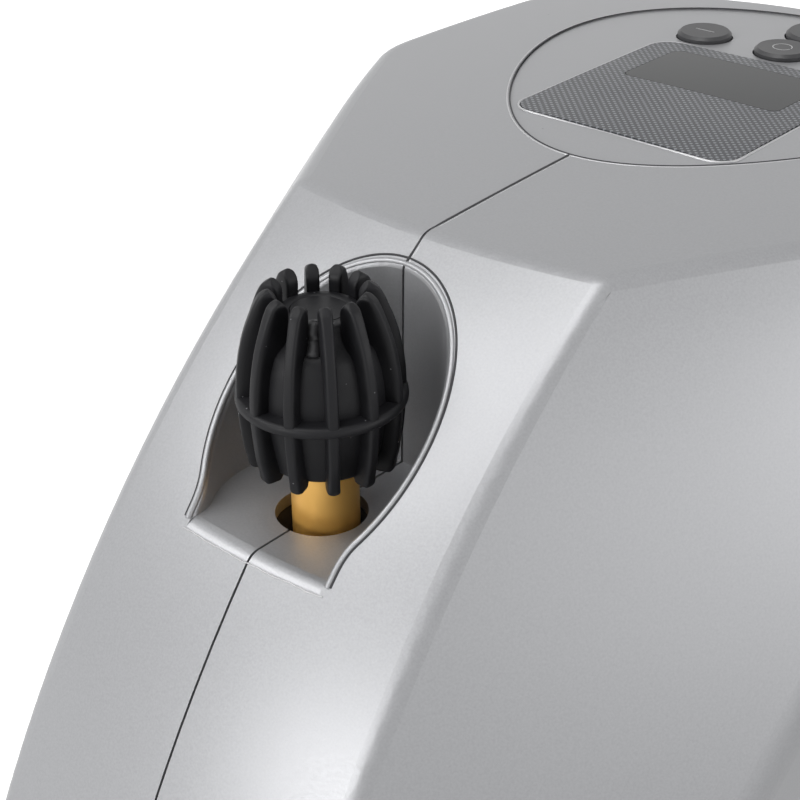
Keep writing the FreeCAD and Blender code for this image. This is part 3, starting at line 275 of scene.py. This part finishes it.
def tube(path, radius, sides=8, closed=False):
    """A round tube along a path in metres: point + radius (side cos a + up sin a), square to the path."""
    path = np.asarray(path, float)
    ahead = np.roll(path, -1, axis=0)
    behind = np.roll(path, 1, axis=0)
    if not closed:
        ahead[-1], behind[0] = path[-1], path[0]
    along = ahead - behind
    along /= np.linalg.norm(along, axis=1)[:, None]
    off_every_path = [0.12, 0.2, 0.97]
    side = np.cross(along, off_every_path)
    side /= np.linalg.norm(side, axis=1)[:, None]
    up = np.cross(side, along)
    turn = np.linspace(0, 2 * np.pi, sides, endpoint=False)[None, :, None]
    points = path[:, None, :] + radius * (side[:, None, :] * np.cos(turn) + up[:, None, :] * np.sin(turn))
    return grid(points, wrap_rows=closed, caps=not closed)


def from_hole(points, lift=0.0):
    """From millimetres round the ledge's hole, with heights from the ledge, to metres, set a lift higher."""
    return (points + np.array([0, 0, lift])) / 1000 + np.array([chuck_x, hole_y, ledge_z])


def on_facet(x, y):
    """A point of the front facet. It turns round an upright axis behind the hole, and its middle line is an
    arc: h = axis - sqrt((axis - y)^2 + x^2), then z = sqrt(arc^2 - (arc_y - h)^2) - drop."""
    middle = facet_axis_y - np.sqrt((facet_axis_y - y) ** 2 + x ** 2)
    z = np.sqrt(facet_arc ** 2 - (facet_arc_y - middle) ** 2) - facet_arc_drop
    return np.stack([x, y, z], axis=-1)


def on_facet_at(x, z):
    """The facet again, from x and a height: y = axis - sqrt((axis - h(z))^2 - x^2)."""
    middle = facet_arc_y - np.sqrt(facet_arc ** 2 - (z + facet_arc_drop) ** 2)
    return np.stack([x, facet_axis_y - np.sqrt((facet_axis_y - middle) ** 2 - x ** 2), z], axis=-1)


def niche_plan(grow):
    """The niche in plan, from its left front corner round the back to the right one: a round back, on each
    side a flared arc that it meets smoothly, and a short throat. Growing it keeps the arcs' centres."""
    share = np.linspace(-1, 1, len(grow))
    flare_x = niche_half_width + niche_flare
    flare_y = niche_back - math.sqrt((niche_radius + niche_flare) ** 2 - flare_x ** 2)
    join = math.atan2(flare_y - niche_back, flare_x)
    radius, flare, half = niche_radius + grow, niche_flare - grow, niche_half_width + grow
    along = np.abs(share)
    throat_from = back_share + flare_share
    turn = np.pi / 2 + (join - np.pi / 2) * np.clip(along / back_share, 0, 1)
    bend = np.pi + join * (1 - np.clip((along - back_share) / flare_share, 0, 1))
    drop = np.clip((along - throat_from) / (1 - throat_from), 0, 1)
    x = np.where(along < back_share, radius * np.cos(turn), flare_x + flare * np.cos(bend))
    y = np.where(along < back_share, niche_back + radius * np.sin(turn), flare_y + flare * np.sin(bend))
    x = np.where(along > throat_from, half, x)
    y = np.where(along > throat_from, flare_y - niche_throat * drop, y)
    return np.sign(share) * x, y


def niche_edge(grow, lift=0.0):
    """The niche's edge on the facet, grown by an amount and by the walls' draft up to each height. The height
    depends on the plan and the plan on the height, so both are worked out three times over."""
    height = np.zeros(niche_samples)
    for _ in range(3):
        x, y = niche_plan(grow + math.tan(niche_draft) * height)
        edge = on_facet(x, y)
        height = edge[:, 2]
    return from_hole(edge, lift)


gap_dark = grained("parting_gap", [(0.03, 0.03, 0.032), (0.06, 0.06, 0.065)], (0.7, 0.8),
                   (900.0, 0.1, 0.00002))
# A lighter copy of the silver paint: a painted highlight on the thin moulded edges, the flash and the overlay's
# border.
painted_highlight_silver = grained("painted_highlight_bevel", [(0.52, 0.52, 0.53), (0.6, 0.6, 0.61)], (0.3, 0.4),
                       (900.0, 0.1, 0.00002), Metallic=0.3)
piece("niche_gap_line", [tube(niche_edge(niche_gap_out), niche_gap_radius)], gap_dark, "housing")
piece("niche_bevel", [tube(niche_edge(niche_bevel_out, -niche_bevel_sunk), niche_bevel_radius, sides=20)],
      paint, "housing")

# The flash wavers by two sines along the ledge. Its lighter silver is a painted highlight.
witness_x = np.linspace(-witness_half_length, witness_half_length, 120)
witness_z = -witness_below + 0.06 * np.sin(0.9 * witness_x) + 0.03 * np.sin(2.9 * witness_x + 1.0)
witness_path = from_hole(on_facet_at(witness_x, witness_z))
piece("ledge_witness_line", [tube(witness_path, witness_radius)], painted_highlight_silver, "housing")


# Seam: the two shells meet along the middle with a dark gap, from the niche's back over the ridge to the
# panel. The right shell's moulded edge shows beside it as a thin bevel in a lighter silver, a painted
# highlight.

panel_front = 65.2
crest_height = 41.3
crest_y = 97.0
top_arc = 1600.0
crown = 870.0
ridge_blend = 0.8
seam_from, seam_to = 21.4, panel_front - 0.4
seam_gap_sunk, seam_gap_radius = 0.08, 0.00026
seam_bevel_aside, seam_bevel_sunk, seam_bevel_radius = 0.5, 0.12, 0.0002


def on_top(x, y):
    """A point of the crowned top: an arc along the seam, highest at the crest, swept over an arc across:
    z = crest - crown + sqrt((crown - fall(y))^2 - x^2), fall(y) = arc - sqrt(arc^2 - (y - crest_y)^2)."""
    fall = top_arc - np.sqrt(top_arc ** 2 - (y - crest_y) ** 2)
    z = crest_height - crown + np.sqrt((crown - fall) ** 2 - x ** 2)
    return np.stack([x, y, z], axis=-1)


def over_ridge(x, y):
    """The lower of the facet and the top, blended over the ridge: -k log(exp(-a / k) + exp(-b / k))."""
    facet, top = on_facet(x, y), on_top(x, y)
    height = -ridge_blend * np.log(np.exp(-facet[:, 2] / ridge_blend) + np.exp(-top[:, 2] / ridge_blend))
    return np.stack([x, y, height], axis=-1)


seam_y = np.linspace(seam_from, seam_to, 160)
seam_middle = over_ridge(0 * seam_y, seam_y)
seam_side = over_ridge(0 * seam_y + seam_bevel_aside, seam_y)
seam_gap = tube(from_hole(seam_middle, -seam_gap_sunk), seam_gap_radius)
piece("seam_gap_line", [seam_gap], gap_dark, "housing")
seam_bevel = tube(from_hole(seam_side, -seam_bevel_sunk), seam_bevel_radius)
piece("seam_bevel", [seam_bevel], painted_highlight_silver, "housing")


# Display panel rim and overlay: the oval panel drops into an opening with a narrow gap, and the opening's
# edge has a thin bevel in a lighter silver, a painted highlight. A printed film lies on the panel over the
# display, and its moulded border is in the same lighter silver, a painted highlight.

panel_length = 98.0
panel_nose = 41.0
panel_gap_out, panel_gap_sunk, panel_gap_radius = 0.1, 0.02, 0.00016
panel_bevel_out, panel_bevel_sunk, panel_bevel_radius = 0.55, 0.12, 0.00022
overlay_half_width = 23.2
overlay_front, overlay_back = 78.3, 129.0
overlay_corner = 4.5
border_out, border_sunk, border_radius = 0.35, 0.3, 0.00028
dot_pitch = 0.0015
dot_size = 0.2


def panel_edge(grow, lift):
    """The panel's egg: half width = sqrt(nose * length * s (1 - s^3)), s from front to back, grown aside."""
    turn = np.linspace(0, 2 * np.pi, 240, endpoint=False)
    s = (1 - np.cos(turn)) / 2
    half = np.sqrt(np.clip(panel_nose * panel_length * s * (1 - s ** 3), 0, None))
    x = np.sign(np.sin(turn)) * half
    y = panel_front + panel_length * s
    along = np.stack([np.roll(x, -1) - np.roll(x, 1), np.roll(y, -1) - np.roll(y, 1)], axis=-1)
    along /= np.linalg.norm(along, axis=1)[:, None]
    return from_hole(on_top(x + grow * along[:, 1], y - grow * along[:, 0]), lift)


def rounded_rectangle(half_width, front, back, corner, per_corner=12):
    """Four quarter circles joined by straight sides, run round once: centre + corner (cos a, sin a)."""
    centres = [(half_width - corner, back - corner), (corner - half_width, back - corner),
               (corner - half_width, front + corner), (half_width - corner, front + corner)]
    quarter = np.linspace(0, np.pi / 2, per_corner)
    arcs = []
    for k, (x, y) in enumerate(centres):
        turn = quarter + k * np.pi / 2
        arcs.append(np.stack([x + corner * np.cos(turn), y + corner * np.sin(turn)], axis=-1))
    return np.concatenate(arcs)


def overlay_edge(grow, lift):
    """The overlay's outline on the crowned top, grown by an amount."""
    outline = rounded_rectangle(overlay_half_width + grow, overlay_front - grow, overlay_back + grow,
                                overlay_corner + grow)
    return from_hole(on_top(outline[:, 0], outline[:, 1]), lift)


def calculated_vector(tree, operation, first, second=(0, 0, 0)):
    """The result of one Vector Math operation on two sockets or values."""
    node = add_node(tree, "VectorMath", {0: first, 1: second}, operation=operation)
    return node.outputs["Vector"]


panel_gap = tube(panel_edge(panel_gap_out, -panel_gap_sunk), panel_gap_radius, closed=True)
piece("panel_gap_line", [panel_gap], gap_dark, "housing")
panel_bevel = tube(panel_edge(panel_bevel_out, -panel_bevel_sunk), panel_bevel_radius, closed=True)
piece("panel_opening_bevel", [panel_bevel], painted_highlight_silver, "housing")
border = tube(overlay_edge(border_out, -border_sunk), border_radius, closed=True)
piece("overlay_border", [border], painted_highlight_silver, "housing")

# Dots of the overlay's print: two square grids of round dots, half a pitch apart
dot_group, given, result = new_group(
    "dot_print", [("Float", "Pitch", dot_pitch), ("Float", "Dot Size", dot_size)], [("Float", "Mask")])
coordinates = add_node(dot_group, "TexCoord").outputs["Object"]
per_pitch = calculated(dot_group, "DIVIDE", 1.0, given["Pitch"])
scaled = add_node(dot_group, "VectorMath", {0: coordinates, "Scale": per_pitch}, operation="SCALE")
masks = []
for shift in (0.0, 0.5):
    shifted = calculated_vector(dot_group, "ADD", scaled.outputs["Vector"], (shift, shift, 0))
    cell = calculated_vector(dot_group, "FRACTION", shifted)
    from_middle = calculated_vector(dot_group, "SUBTRACT", cell, (0.5, 0.5, 0))
    flat = calculated_vector(dot_group, "MULTIPLY", from_middle, (1, 1, 0))
    distance = add_node(dot_group, "VectorMath", {0: flat}, operation="LENGTH").outputs["Value"]
    masks.append(calculated(dot_group, "LESS_THAN", distance, given["Dot Size"]))
dot_group.links.new(calculated(dot_group, "MAXIMUM", *masks), result["Mask"])

dotted_film, shader = new_finish("dotted_film", Specular_IOR_Level=0.3)
tree = dotted_film.node_tree
film = drifting(tree, shader, [(0.05, 0.053, 0.06), (0.065, 0.068, 0.076)], (0.3, 0.4), 60.0)
dots = add_node(tree, "Group", {"Pitch": dot_pitch, "Dot Size": dot_size}, node_tree=dot_group)
printed = mixed_colour(tree, dots.outputs["Mask"], film, (0.27, 0.28, 0.30, 1))
tree.links.new(printed, shader.inputs["Base Color"])
dress(dotted_film, "display_overlay")


# Display: a window of clear dark plastic in the overlay, over the display module. The module stands on the
# board under the panel.

window_dark = grained("display_glass", [(0.012, 0.014, 0.015), (0.018, 0.02, 0.021)], (0.1, 0.14),
                      (300.0, 0.02, 0.00001), Specular_IOR_Level=0.2)
dress(window_dark, "lcd_window")
module_grey = grained("display_module", [(0.2, 0.23, 0.2), (0.24, 0.27, 0.24)], (0.3, 0.4),
                      (600.0, 0.05, 0.00002))
dress(module_grey, "lcd_module")


# Keys: round black plastic caps that press on switches under the panel. Each has a plain white printed sign:
# minus, plus, a ring for the mode and a broken ring with a stroke for the power. Sizes are metres.

key_black = grained("key_plastic", [(0.03, 0.03, 0.032), (0.04, 0.04, 0.043)], (0.4, 0.5),
                    (1500.0, 0.15, 0.00003))
dress(key_black, "power_button", "mode_button", "minus_button", "plus_button")
mark_white = grained("key_print", [(0.75, 0.75, 0.75), (0.82, 0.82, 0.82)], (0.5, 0.6),
                     (900.0, 0.05, 0.00001))
mark_half_width = 0.00028
mark_proud = 0.00003
stroke_reach = 0.0022
mode_radius = 0.0019
power_radius = 0.0024
power_half_opening = 35
power_stroke_from, power_stroke_to = 0.0008, 0.003


def key_top(name):
    """The middle of a key's top, sunk so far that a stroke there stands only a little proud."""
    low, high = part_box(name)
    return np.array([(low.x + high.x) / 2, (low.y + high.y) / 2, high.z - mark_half_width + mark_proud])


def straight(start, end):
    """Points from start to end, as offsets in metres from the middle of a key's top."""
    share = np.linspace(0, 1, 6)[:, None]
    return np.array(start) * (1 - share) + np.array(end) * share


def round_mark(radius, from_deg, to_deg):
    """Part of a circle round the middle of a key's top: radius (cos a, sin a)."""
    turn = np.radians(np.linspace(from_deg, to_deg, 40))
    return np.stack([radius * np.cos(turn), radius * np.sin(turn), 0 * turn], axis=-1)


across = straight((-stroke_reach, 0, 0), (stroke_reach, 0, 0))
upright = straight((0, -stroke_reach, 0), (0, stroke_reach, 0))
key_marks = {
    "minus": [across],
    "plus": [across, upright],
    "mode": [round_mark(mode_radius, 0, 350)],
    "power": [round_mark(power_radius, 90 + power_half_opening, 450 - power_half_opening),
              straight((0, power_stroke_from, 0), (0, power_stroke_to, 0))],
}
for name, strokes in key_marks.items():
    middle = key_top(name + "_button")
    piece(name + "_mark", [tube(middle + stroke, mark_half_width) for stroke in strokes], mark_white,
          name + "_key")


# Valve connector's grip: moulded black rubber, an egg-shaped core with a flange round its middle and twelve
# ribs whose finger tips stand above the mouth. It is pushed over the brass barrel. This piece is fuller than
# the CAD solid that it stands for. Its sizes are millimetres round the connector's axis, up from the ledge.

rib_count = 12
rib_thickness = 2.1
rib_low, rib_high = 9.2, 39.6
rib_low_round, rib_high_round = 0.45, 1.1
rib_edge = 0.03
rib_squareness = 0.42
rib_taper = 0.14
first_rib_deg = 50.6 - 90


def at_chuck(points):
    """From millimetres round the connector's axis, with heights from the ledge, to metres in the frame."""
    return points / 1000 + np.array([chuck_x, chuck_y, ledge_z])


def turned(profile, segments=96):
    """Surface of revolution of (radius, height) pairs round the connector's axis: (r cos a, r sin a, z)."""
    radius, height = np.array(profile, float).T
    turn = np.linspace(0, 2 * np.pi, segments, endpoint=False)
    x = radius[:, None] * np.cos(turn)
    y = radius[:, None] * np.sin(turn)
    z = np.repeat(height[:, None], segments, axis=1)
    return grid(at_chuck(np.stack([x, y, z], axis=-1)), caps=True)


def smooth_through(knots, values, at):
    """A cubic Hermite curve through values at knots, with slopes from their neighbours, sampled at places."""
    knots, values = np.asarray(knots, float), np.asarray(values, float)
    slope = np.gradient(values, knots)
    k = np.clip(np.searchsorted(knots, at) - 1, 0, len(knots) - 2)
    width = knots[k + 1] - knots[k]
    t = (at - knots[k]) / width
    return ((2 * t**3 - 3 * t**2 + 1) * values[k] + (t**3 - 2 * t**2 + t) * width * slope[k]
            + (3 * t**2 - 2 * t**3) * values[k + 1] + (t**3 - t**2) * width * slope[k + 1])


def signed_power(value, power):
    """sign(value) |value|^power, which squares a circle's sine and cosine up when the power is below 1."""
    return np.sign(value) * np.abs(value) ** power


core_z = np.linspace(10.8, 35.0, 60)
core_radius = smooth_through([10.8, 15.0, 21.0, 26.0, 29.5, 31.3, 32.4, 33.6, 35.0],
                             [9.4, 10.3, 11.0, 10.7, 9.9, 9.0, 7.5, 6.75, 6.6], core_z)
core_foot = [(5.52, 10.4), (9.0, 10.4)]
core_mouth = [(6.4, 35.55), (6.1, 35.7), (4.6, 35.7), (4.5, 35.5), (4.5, 33.6), (5.52, 33.5)]
core = turned(core_foot + list(zip(core_radius, core_z)) + core_mouth)
flange = turned([(9.0, 20.2), (12.7, 20.25), (13.2, 20.4), (13.5, 20.75), (13.55, 21.2), (13.5, 21.65),
                 (13.2, 22.0), (12.7, 22.15), (9.0, 22.2)])

rib_z = rib_low + (rib_high - rib_low) * (1 - np.cos(np.linspace(0, np.pi, 80))) / 2
rib_crest = smooth_through(
    [9.2, 9.8, 11.5, 13.25, 16.75, 21.3, 25.5, 29.0, 32.5, 35.75, 37.5, 38.8, 39.6],
    [11.3, 11.8, 12.2, 12.6, 13.0, 13.3, 13.15, 12.65, 11.85, 10.65, 9.9, 9.0, 7.9], rib_z)
rib_root = smooth_through([9.2, 9.8, 20.0, 30.5, 33.0, 36.0, 38.3, 39.6],
                          [9.3, 8.8, 9.5, 7.8, 6.6, 6.25, 6.5, 7.6], rib_z)
rib_round = np.linspace(0, 2 * np.pi, 48, endpoint=False)


def rib(turn):
    """One rib as a stack of flat sections. Each is a squarish oval, middle + reach cos^p out from the axis by
    thickness / 2 sin^p aside, a little thinner at the crest than at the root. Both ends round off."""
    from_ends = np.minimum((rib_z - rib_low) / rib_low_round, (rib_high - rib_z) / rib_high_round)
    end_round = np.sqrt(1 - (1 - np.clip(from_ends, 0, 1)) ** 2)
    thickness = (rib_thickness * (rib_edge + (1 - rib_edge) * end_round))[:, None]
    middle = ((rib_crest + rib_root) / 2)[:, None]
    reach = ((rib_crest - rib_root) / 2)[:, None]
    out = middle + reach * signed_power(np.cos(rib_round), rib_squareness)
    taper = 1 - rib_taper * np.cos(rib_round)
    aside = thickness / 2 * taper * signed_power(np.sin(rib_round), rib_squareness)
    x = out * math.cos(turn) - aside * math.sin(turn)
    y = out * math.sin(turn) + aside * math.cos(turn)
    z = np.repeat(rib_z[:, None], len(rib_round), axis=1)
    return grid(at_chuck(np.stack([x, y, z], axis=-1)), caps=True)


rubber = grained("black_rubber", [(0.006, 0.006, 0.007), (0.012, 0.012, 0.014)], (0.40, 0.58),
                 (1500.0, 0.25, 0.00004), scale=160.0, Specular_IOR_Level=0.22)
speckle(rubber, (0.2, 0.2, 0.21), Scale=1400.0, Size=0.16, Share=0.02)
ribs = [rib(math.radians(first_rib_deg + 360 * k / rib_count)) for k in range(rib_count)]
grip = piece("grip_with_ribs", [core, flange] + ribs, rubber, "connector", ["chuck_grip"])
dress(rubber, "chuck_grip", "chuck_seal")


# Dust plug: a round rubber disc that closes the grip's mouth. A short rubber strap down the grip's neck holds
# it, and a small loop at its edge is the place to lift it by.

strap_turn = math.radians(first_rib_deg - 15)
strap_low, strap_high = 31.6, 35.95
strap_half_thickness = 0.00105
loop_from_axis = 5.2
loop_radius, loop_stretch = 0.55, 1.35
loop_wire = 0.00025

strap_height = np.linspace(strap_low, strap_high, 12)
strap_radius = smooth_through([31.6, 32.4, 33.6, 35.0, 35.95], [8.3, 7.1, 6.35, 6.2, 5.4], strap_height)
outwards = np.array([math.cos(strap_turn), math.sin(strap_turn), 0])
sideways = np.array([-math.sin(strap_turn), math.cos(strap_turn), 0])
upwards = np.array([0, 0, 1.0])
strap_path = strap_radius[:, None] * outwards + strap_height[:, None] * upwards
loop_turn = np.linspace(0, 2 * np.pi, 28, endpoint=False)[:, None]
loop_path = (loop_from_axis * outwards + strap_high * upwards
             + loop_radius * (np.cos(loop_turn) * outwards + loop_stretch * np.sin(loop_turn) * sideways))
# The strap is drawn in a lighter rubber than the plug and the grip: a painted sheen.
sheen_painted_rubber = grained("sheen_painted_rubber", [(0.03, 0.03, 0.032), (0.04, 0.04, 0.043)], (0.45, 0.6),
                       (1500.0, 0.3, 0.00004))
piece("plug_strap", [tube(at_chuck(strap_path), strap_half_thickness, sides=20),
                     tube(at_chuck(loop_path), loop_wire, sides=10, closed=True)], sheen_painted_rubber, "plug")
dress(rubber, "mouth_plug")


# Connector's metal: a turned brass barrel that goes down through the ledge, the hose tail that turns in it,
# and the pin that opens the tyre's valve. The air outlet and the power inlet's pin are turned from brass too.

brass = grained("brass", [(0.98, 0.52, 0.12), (1.0, 0.60, 0.16)], (0.3, 0.42), (500.0, 0.2, 0.00003),
                Metallic=0.5)
dress(brass, "chuck_barrel", "swivel_tail", "valve_pin", "air_outlet", "inlet_pin")


# Black mouldings: the back end plate with its rocker frame and power inlet, the guide under the ledge, the
# motor's end cap and fan, and the key switches. The rocker in its frame is glossy red.

black_plastic = grained("black_plastic", [(0.02, 0.02, 0.021), (0.03, 0.03, 0.032)], (0.45, 0.6),
                        (1200.0, 0.2, 0.00004))
dress(black_plastic, "rear_plate", "rocker_frame", "power_inlet", "chuck_dock", "motor_end_cap",
      "cooling_fan", "key_switches")
rocker_red = grained("rocker_plastic", [(0.4, 0.012, 0.01), (0.45, 0.02, 0.015)], (0.2, 0.28),
                     (300.0, 0.05, 0.00002))
dress(rocker_red, "rocker_switch")


# Work light: a lens of clear plastic let into the nose, over a board with two diodes. The control board under
# the panel is cut from the same green laminate.

lens_clear, _ = new_finish("clear_lens", Base_Color=(0.88, 0.91, 0.93, 1), Roughness=0.12,
                           Transmission_Weight=0.85, IOR=1.49)
dress(lens_clear, "lamp_lens")
board_green = grained("circuit_board", [(0.01, 0.09, 0.03), (0.02, 0.12, 0.05)], (0.3, 0.4),
                      (300.0, 0.1, 0.00003))
dress(board_green, "control_board", "lamp_board")


# Drive and pump: steel motor, shafts, bearings, screws and reed valve, cast aluminium frame, cylinder, head,
# rod and piston, a plastic crank gear, a bronze rod bush, and a brown piston ring and gasket.

steel = grained("steel", [(0.5, 0.5, 0.5), (0.62, 0.62, 0.62)], (0.25, 0.4), (700.0, 0.1, 0.00002),
                Metallic=1.0)
dress(steel, "case_screws", "board_screws", "motor_screws", "head_screws", "motor_can", "motor_rotor",
      "crank_shaft", "crank_pin", "wrist_pin", "front_bearing", "rear_bearing", "reed_valve", "pinion")
aluminium = grained("cast_aluminium", [(0.5, 0.5, 0.5), (0.64, 0.64, 0.64)], (0.4, 0.55),
                    (900.0, 0.4, 0.00006), Metallic=1.0)
dress(aluminium, "gear_frame", "cylinder", "cylinder_head", "connecting_rod", "piston")
gear_white = grained("gear_plastic", [(0.7, 0.68, 0.6), (0.76, 0.74, 0.66)], (0.35, 0.45),
                     (600.0, 0.1, 0.00003))
dress(gear_white, "crank_gear")
bronze = grained("bearing_bronze", [(0.4, 0.24, 0.1), (0.5, 0.3, 0.13)], (0.4, 0.5), (2000.0, 0.3, 0.00003),
                 Metallic=1.0)
dress(bronze, "rod_bearing")
ring_brown = grained("ring_plastic", [(0.1, 0.06, 0.03), (0.14, 0.08, 0.05)], (0.4, 0.5),
                     (900.0, 0.1, 0.00003))
dress(ring_brown, "piston_ring", "cylinder_gasket")


# Feet: four turned rubber discs under the corners, closer together at the nose than at the back. They are of
# the same black rubber as the grip.

dress(rubber, "foot_front_left", "foot_front_right", "foot_rear_left", "foot_rear_right")


# Studio: a pale floor that keeps the object's shadow and fades to white away from it, a white background that
# metal and glass show too, and six soft lights.

floor_half = 3.0
fade_from, fade_to = 0.2, 0.6
white_share_near = 0.55


def seen_directly(tree):
    """1 for rays from the camera, from a glossy surface or through glass, and 0 for the rest."""
    rays = add_node(tree, "LightPath").outputs
    camera_or_glossy = calculated(tree, "MAXIMUM", rays["Is Camera Ray"], rays["Is Glossy Ray"])
    return calculated(tree, "MAXIMUM", camera_or_glossy, rays["Is Transmission Ray"])


floor_paint, shader = new_finish("floor_paint", Base_Color=(0.28, 0.28, 0.28, 1), Roughness=0.9)
tree = floor_paint.node_tree
coordinates = add_node(tree, "TexCoord").outputs["Object"]
distance = add_node(tree, "VectorMath", {0: coordinates}, operation="LENGTH").outputs["Value"]
fade = add_node(tree, "MapRange", {
    "Value": distance, "From Min": fade_from, "From Max": fade_to, "To Min": white_share_near})
pale = add_node(tree, "BsdfDiffuse", {"Color": (0.8, 0.8, 0.8, 1)})
glow = add_node(tree, "Emission", {"Color": (1, 1, 1, 1), "Strength": 1.5})
lit = add_node(tree, "MixShader", {"Fac": fade.outputs["Result"], 1: pale.outputs["BSDF"],
                                   2: glow.outputs["Emission"]})
choose = add_node(tree, "MixShader", {"Fac": seen_directly(tree), 1: shader.outputs["BSDF"],
                                      2: lit.outputs["Shader"]})
tree.links.new(choose.outputs["Shader"], tree.nodes["Material Output"].inputs["Surface"])
floor_corners = floor_half * np.array([[[-1, -1, 0], [1, -1, 0]], [[-1, 1, 0], [1, 1, 0]]], float)
floor_mesh = smooth_mesh("floor", grid(floor_corners, wrap_columns=False))
floor_mesh.materials.append(floor_paint)
floor = bpy.data.objects.new("floor", floor_mesh)
bpy.context.scene.collection.objects.link(floor)

world = bpy.data.worlds.new("studio")
world.use_nodes = True
bpy.context.scene.world = world
tree = world.node_tree
background = tree.nodes["Background"]
background.inputs["Color"].default_value = (0.8, 0.82, 0.85, 1)
background.inputs["Strength"].default_value = 0.05
white = add_node(tree, "Background", {"Color": (1, 1, 1, 1)})
choose = add_node(tree, "MixShader", {"Fac": seen_directly(tree), 1: background.outputs["Background"],
                                      2: white.outputs["Background"]})
tree.links.new(choose.outputs["Shader"], tree.nodes["World Output"].inputs["Surface"])


def soft_light(name, place, target, size, power):
    """A rectangular area light that faces a point."""
    data = bpy.data.lights.new(name, "AREA")
    data.shape = "RECTANGLE"
    data.size, data.size_y = size
    data.energy = power
    light = bpy.data.objects.new(name, data)
    light.location = place
    light.rotation_euler = (Vector(target) - Vector(place)).to_track_quat("-Z", "Y").to_euler()
    bpy.context.scene.collection.objects.link(light)


centre = (0.0, -0.03, 0.08)
soft_light("left", (-0.62, -0.52, 0.72), centre, (0.35, 0.35), 2.3)
soft_light("left_high", (-0.35, -0.6, 0.95), centre, (0.35, 0.35), 1.6)
soft_light("front_low", (-0.1, -1.0, 0.35), centre, (0.6, 0.3), 4.2)
soft_light("above", (0.0, -0.35, 1.2), centre, (0.5, 0.5), 3.6)
soft_light("right", (0.9, 0.35, 0.35), centre, (0.6, 0.5), 2.2)
soft_light("right_front", (1.0, 0.0, 0.3), centre, (0.6, 0.5), 1.1)
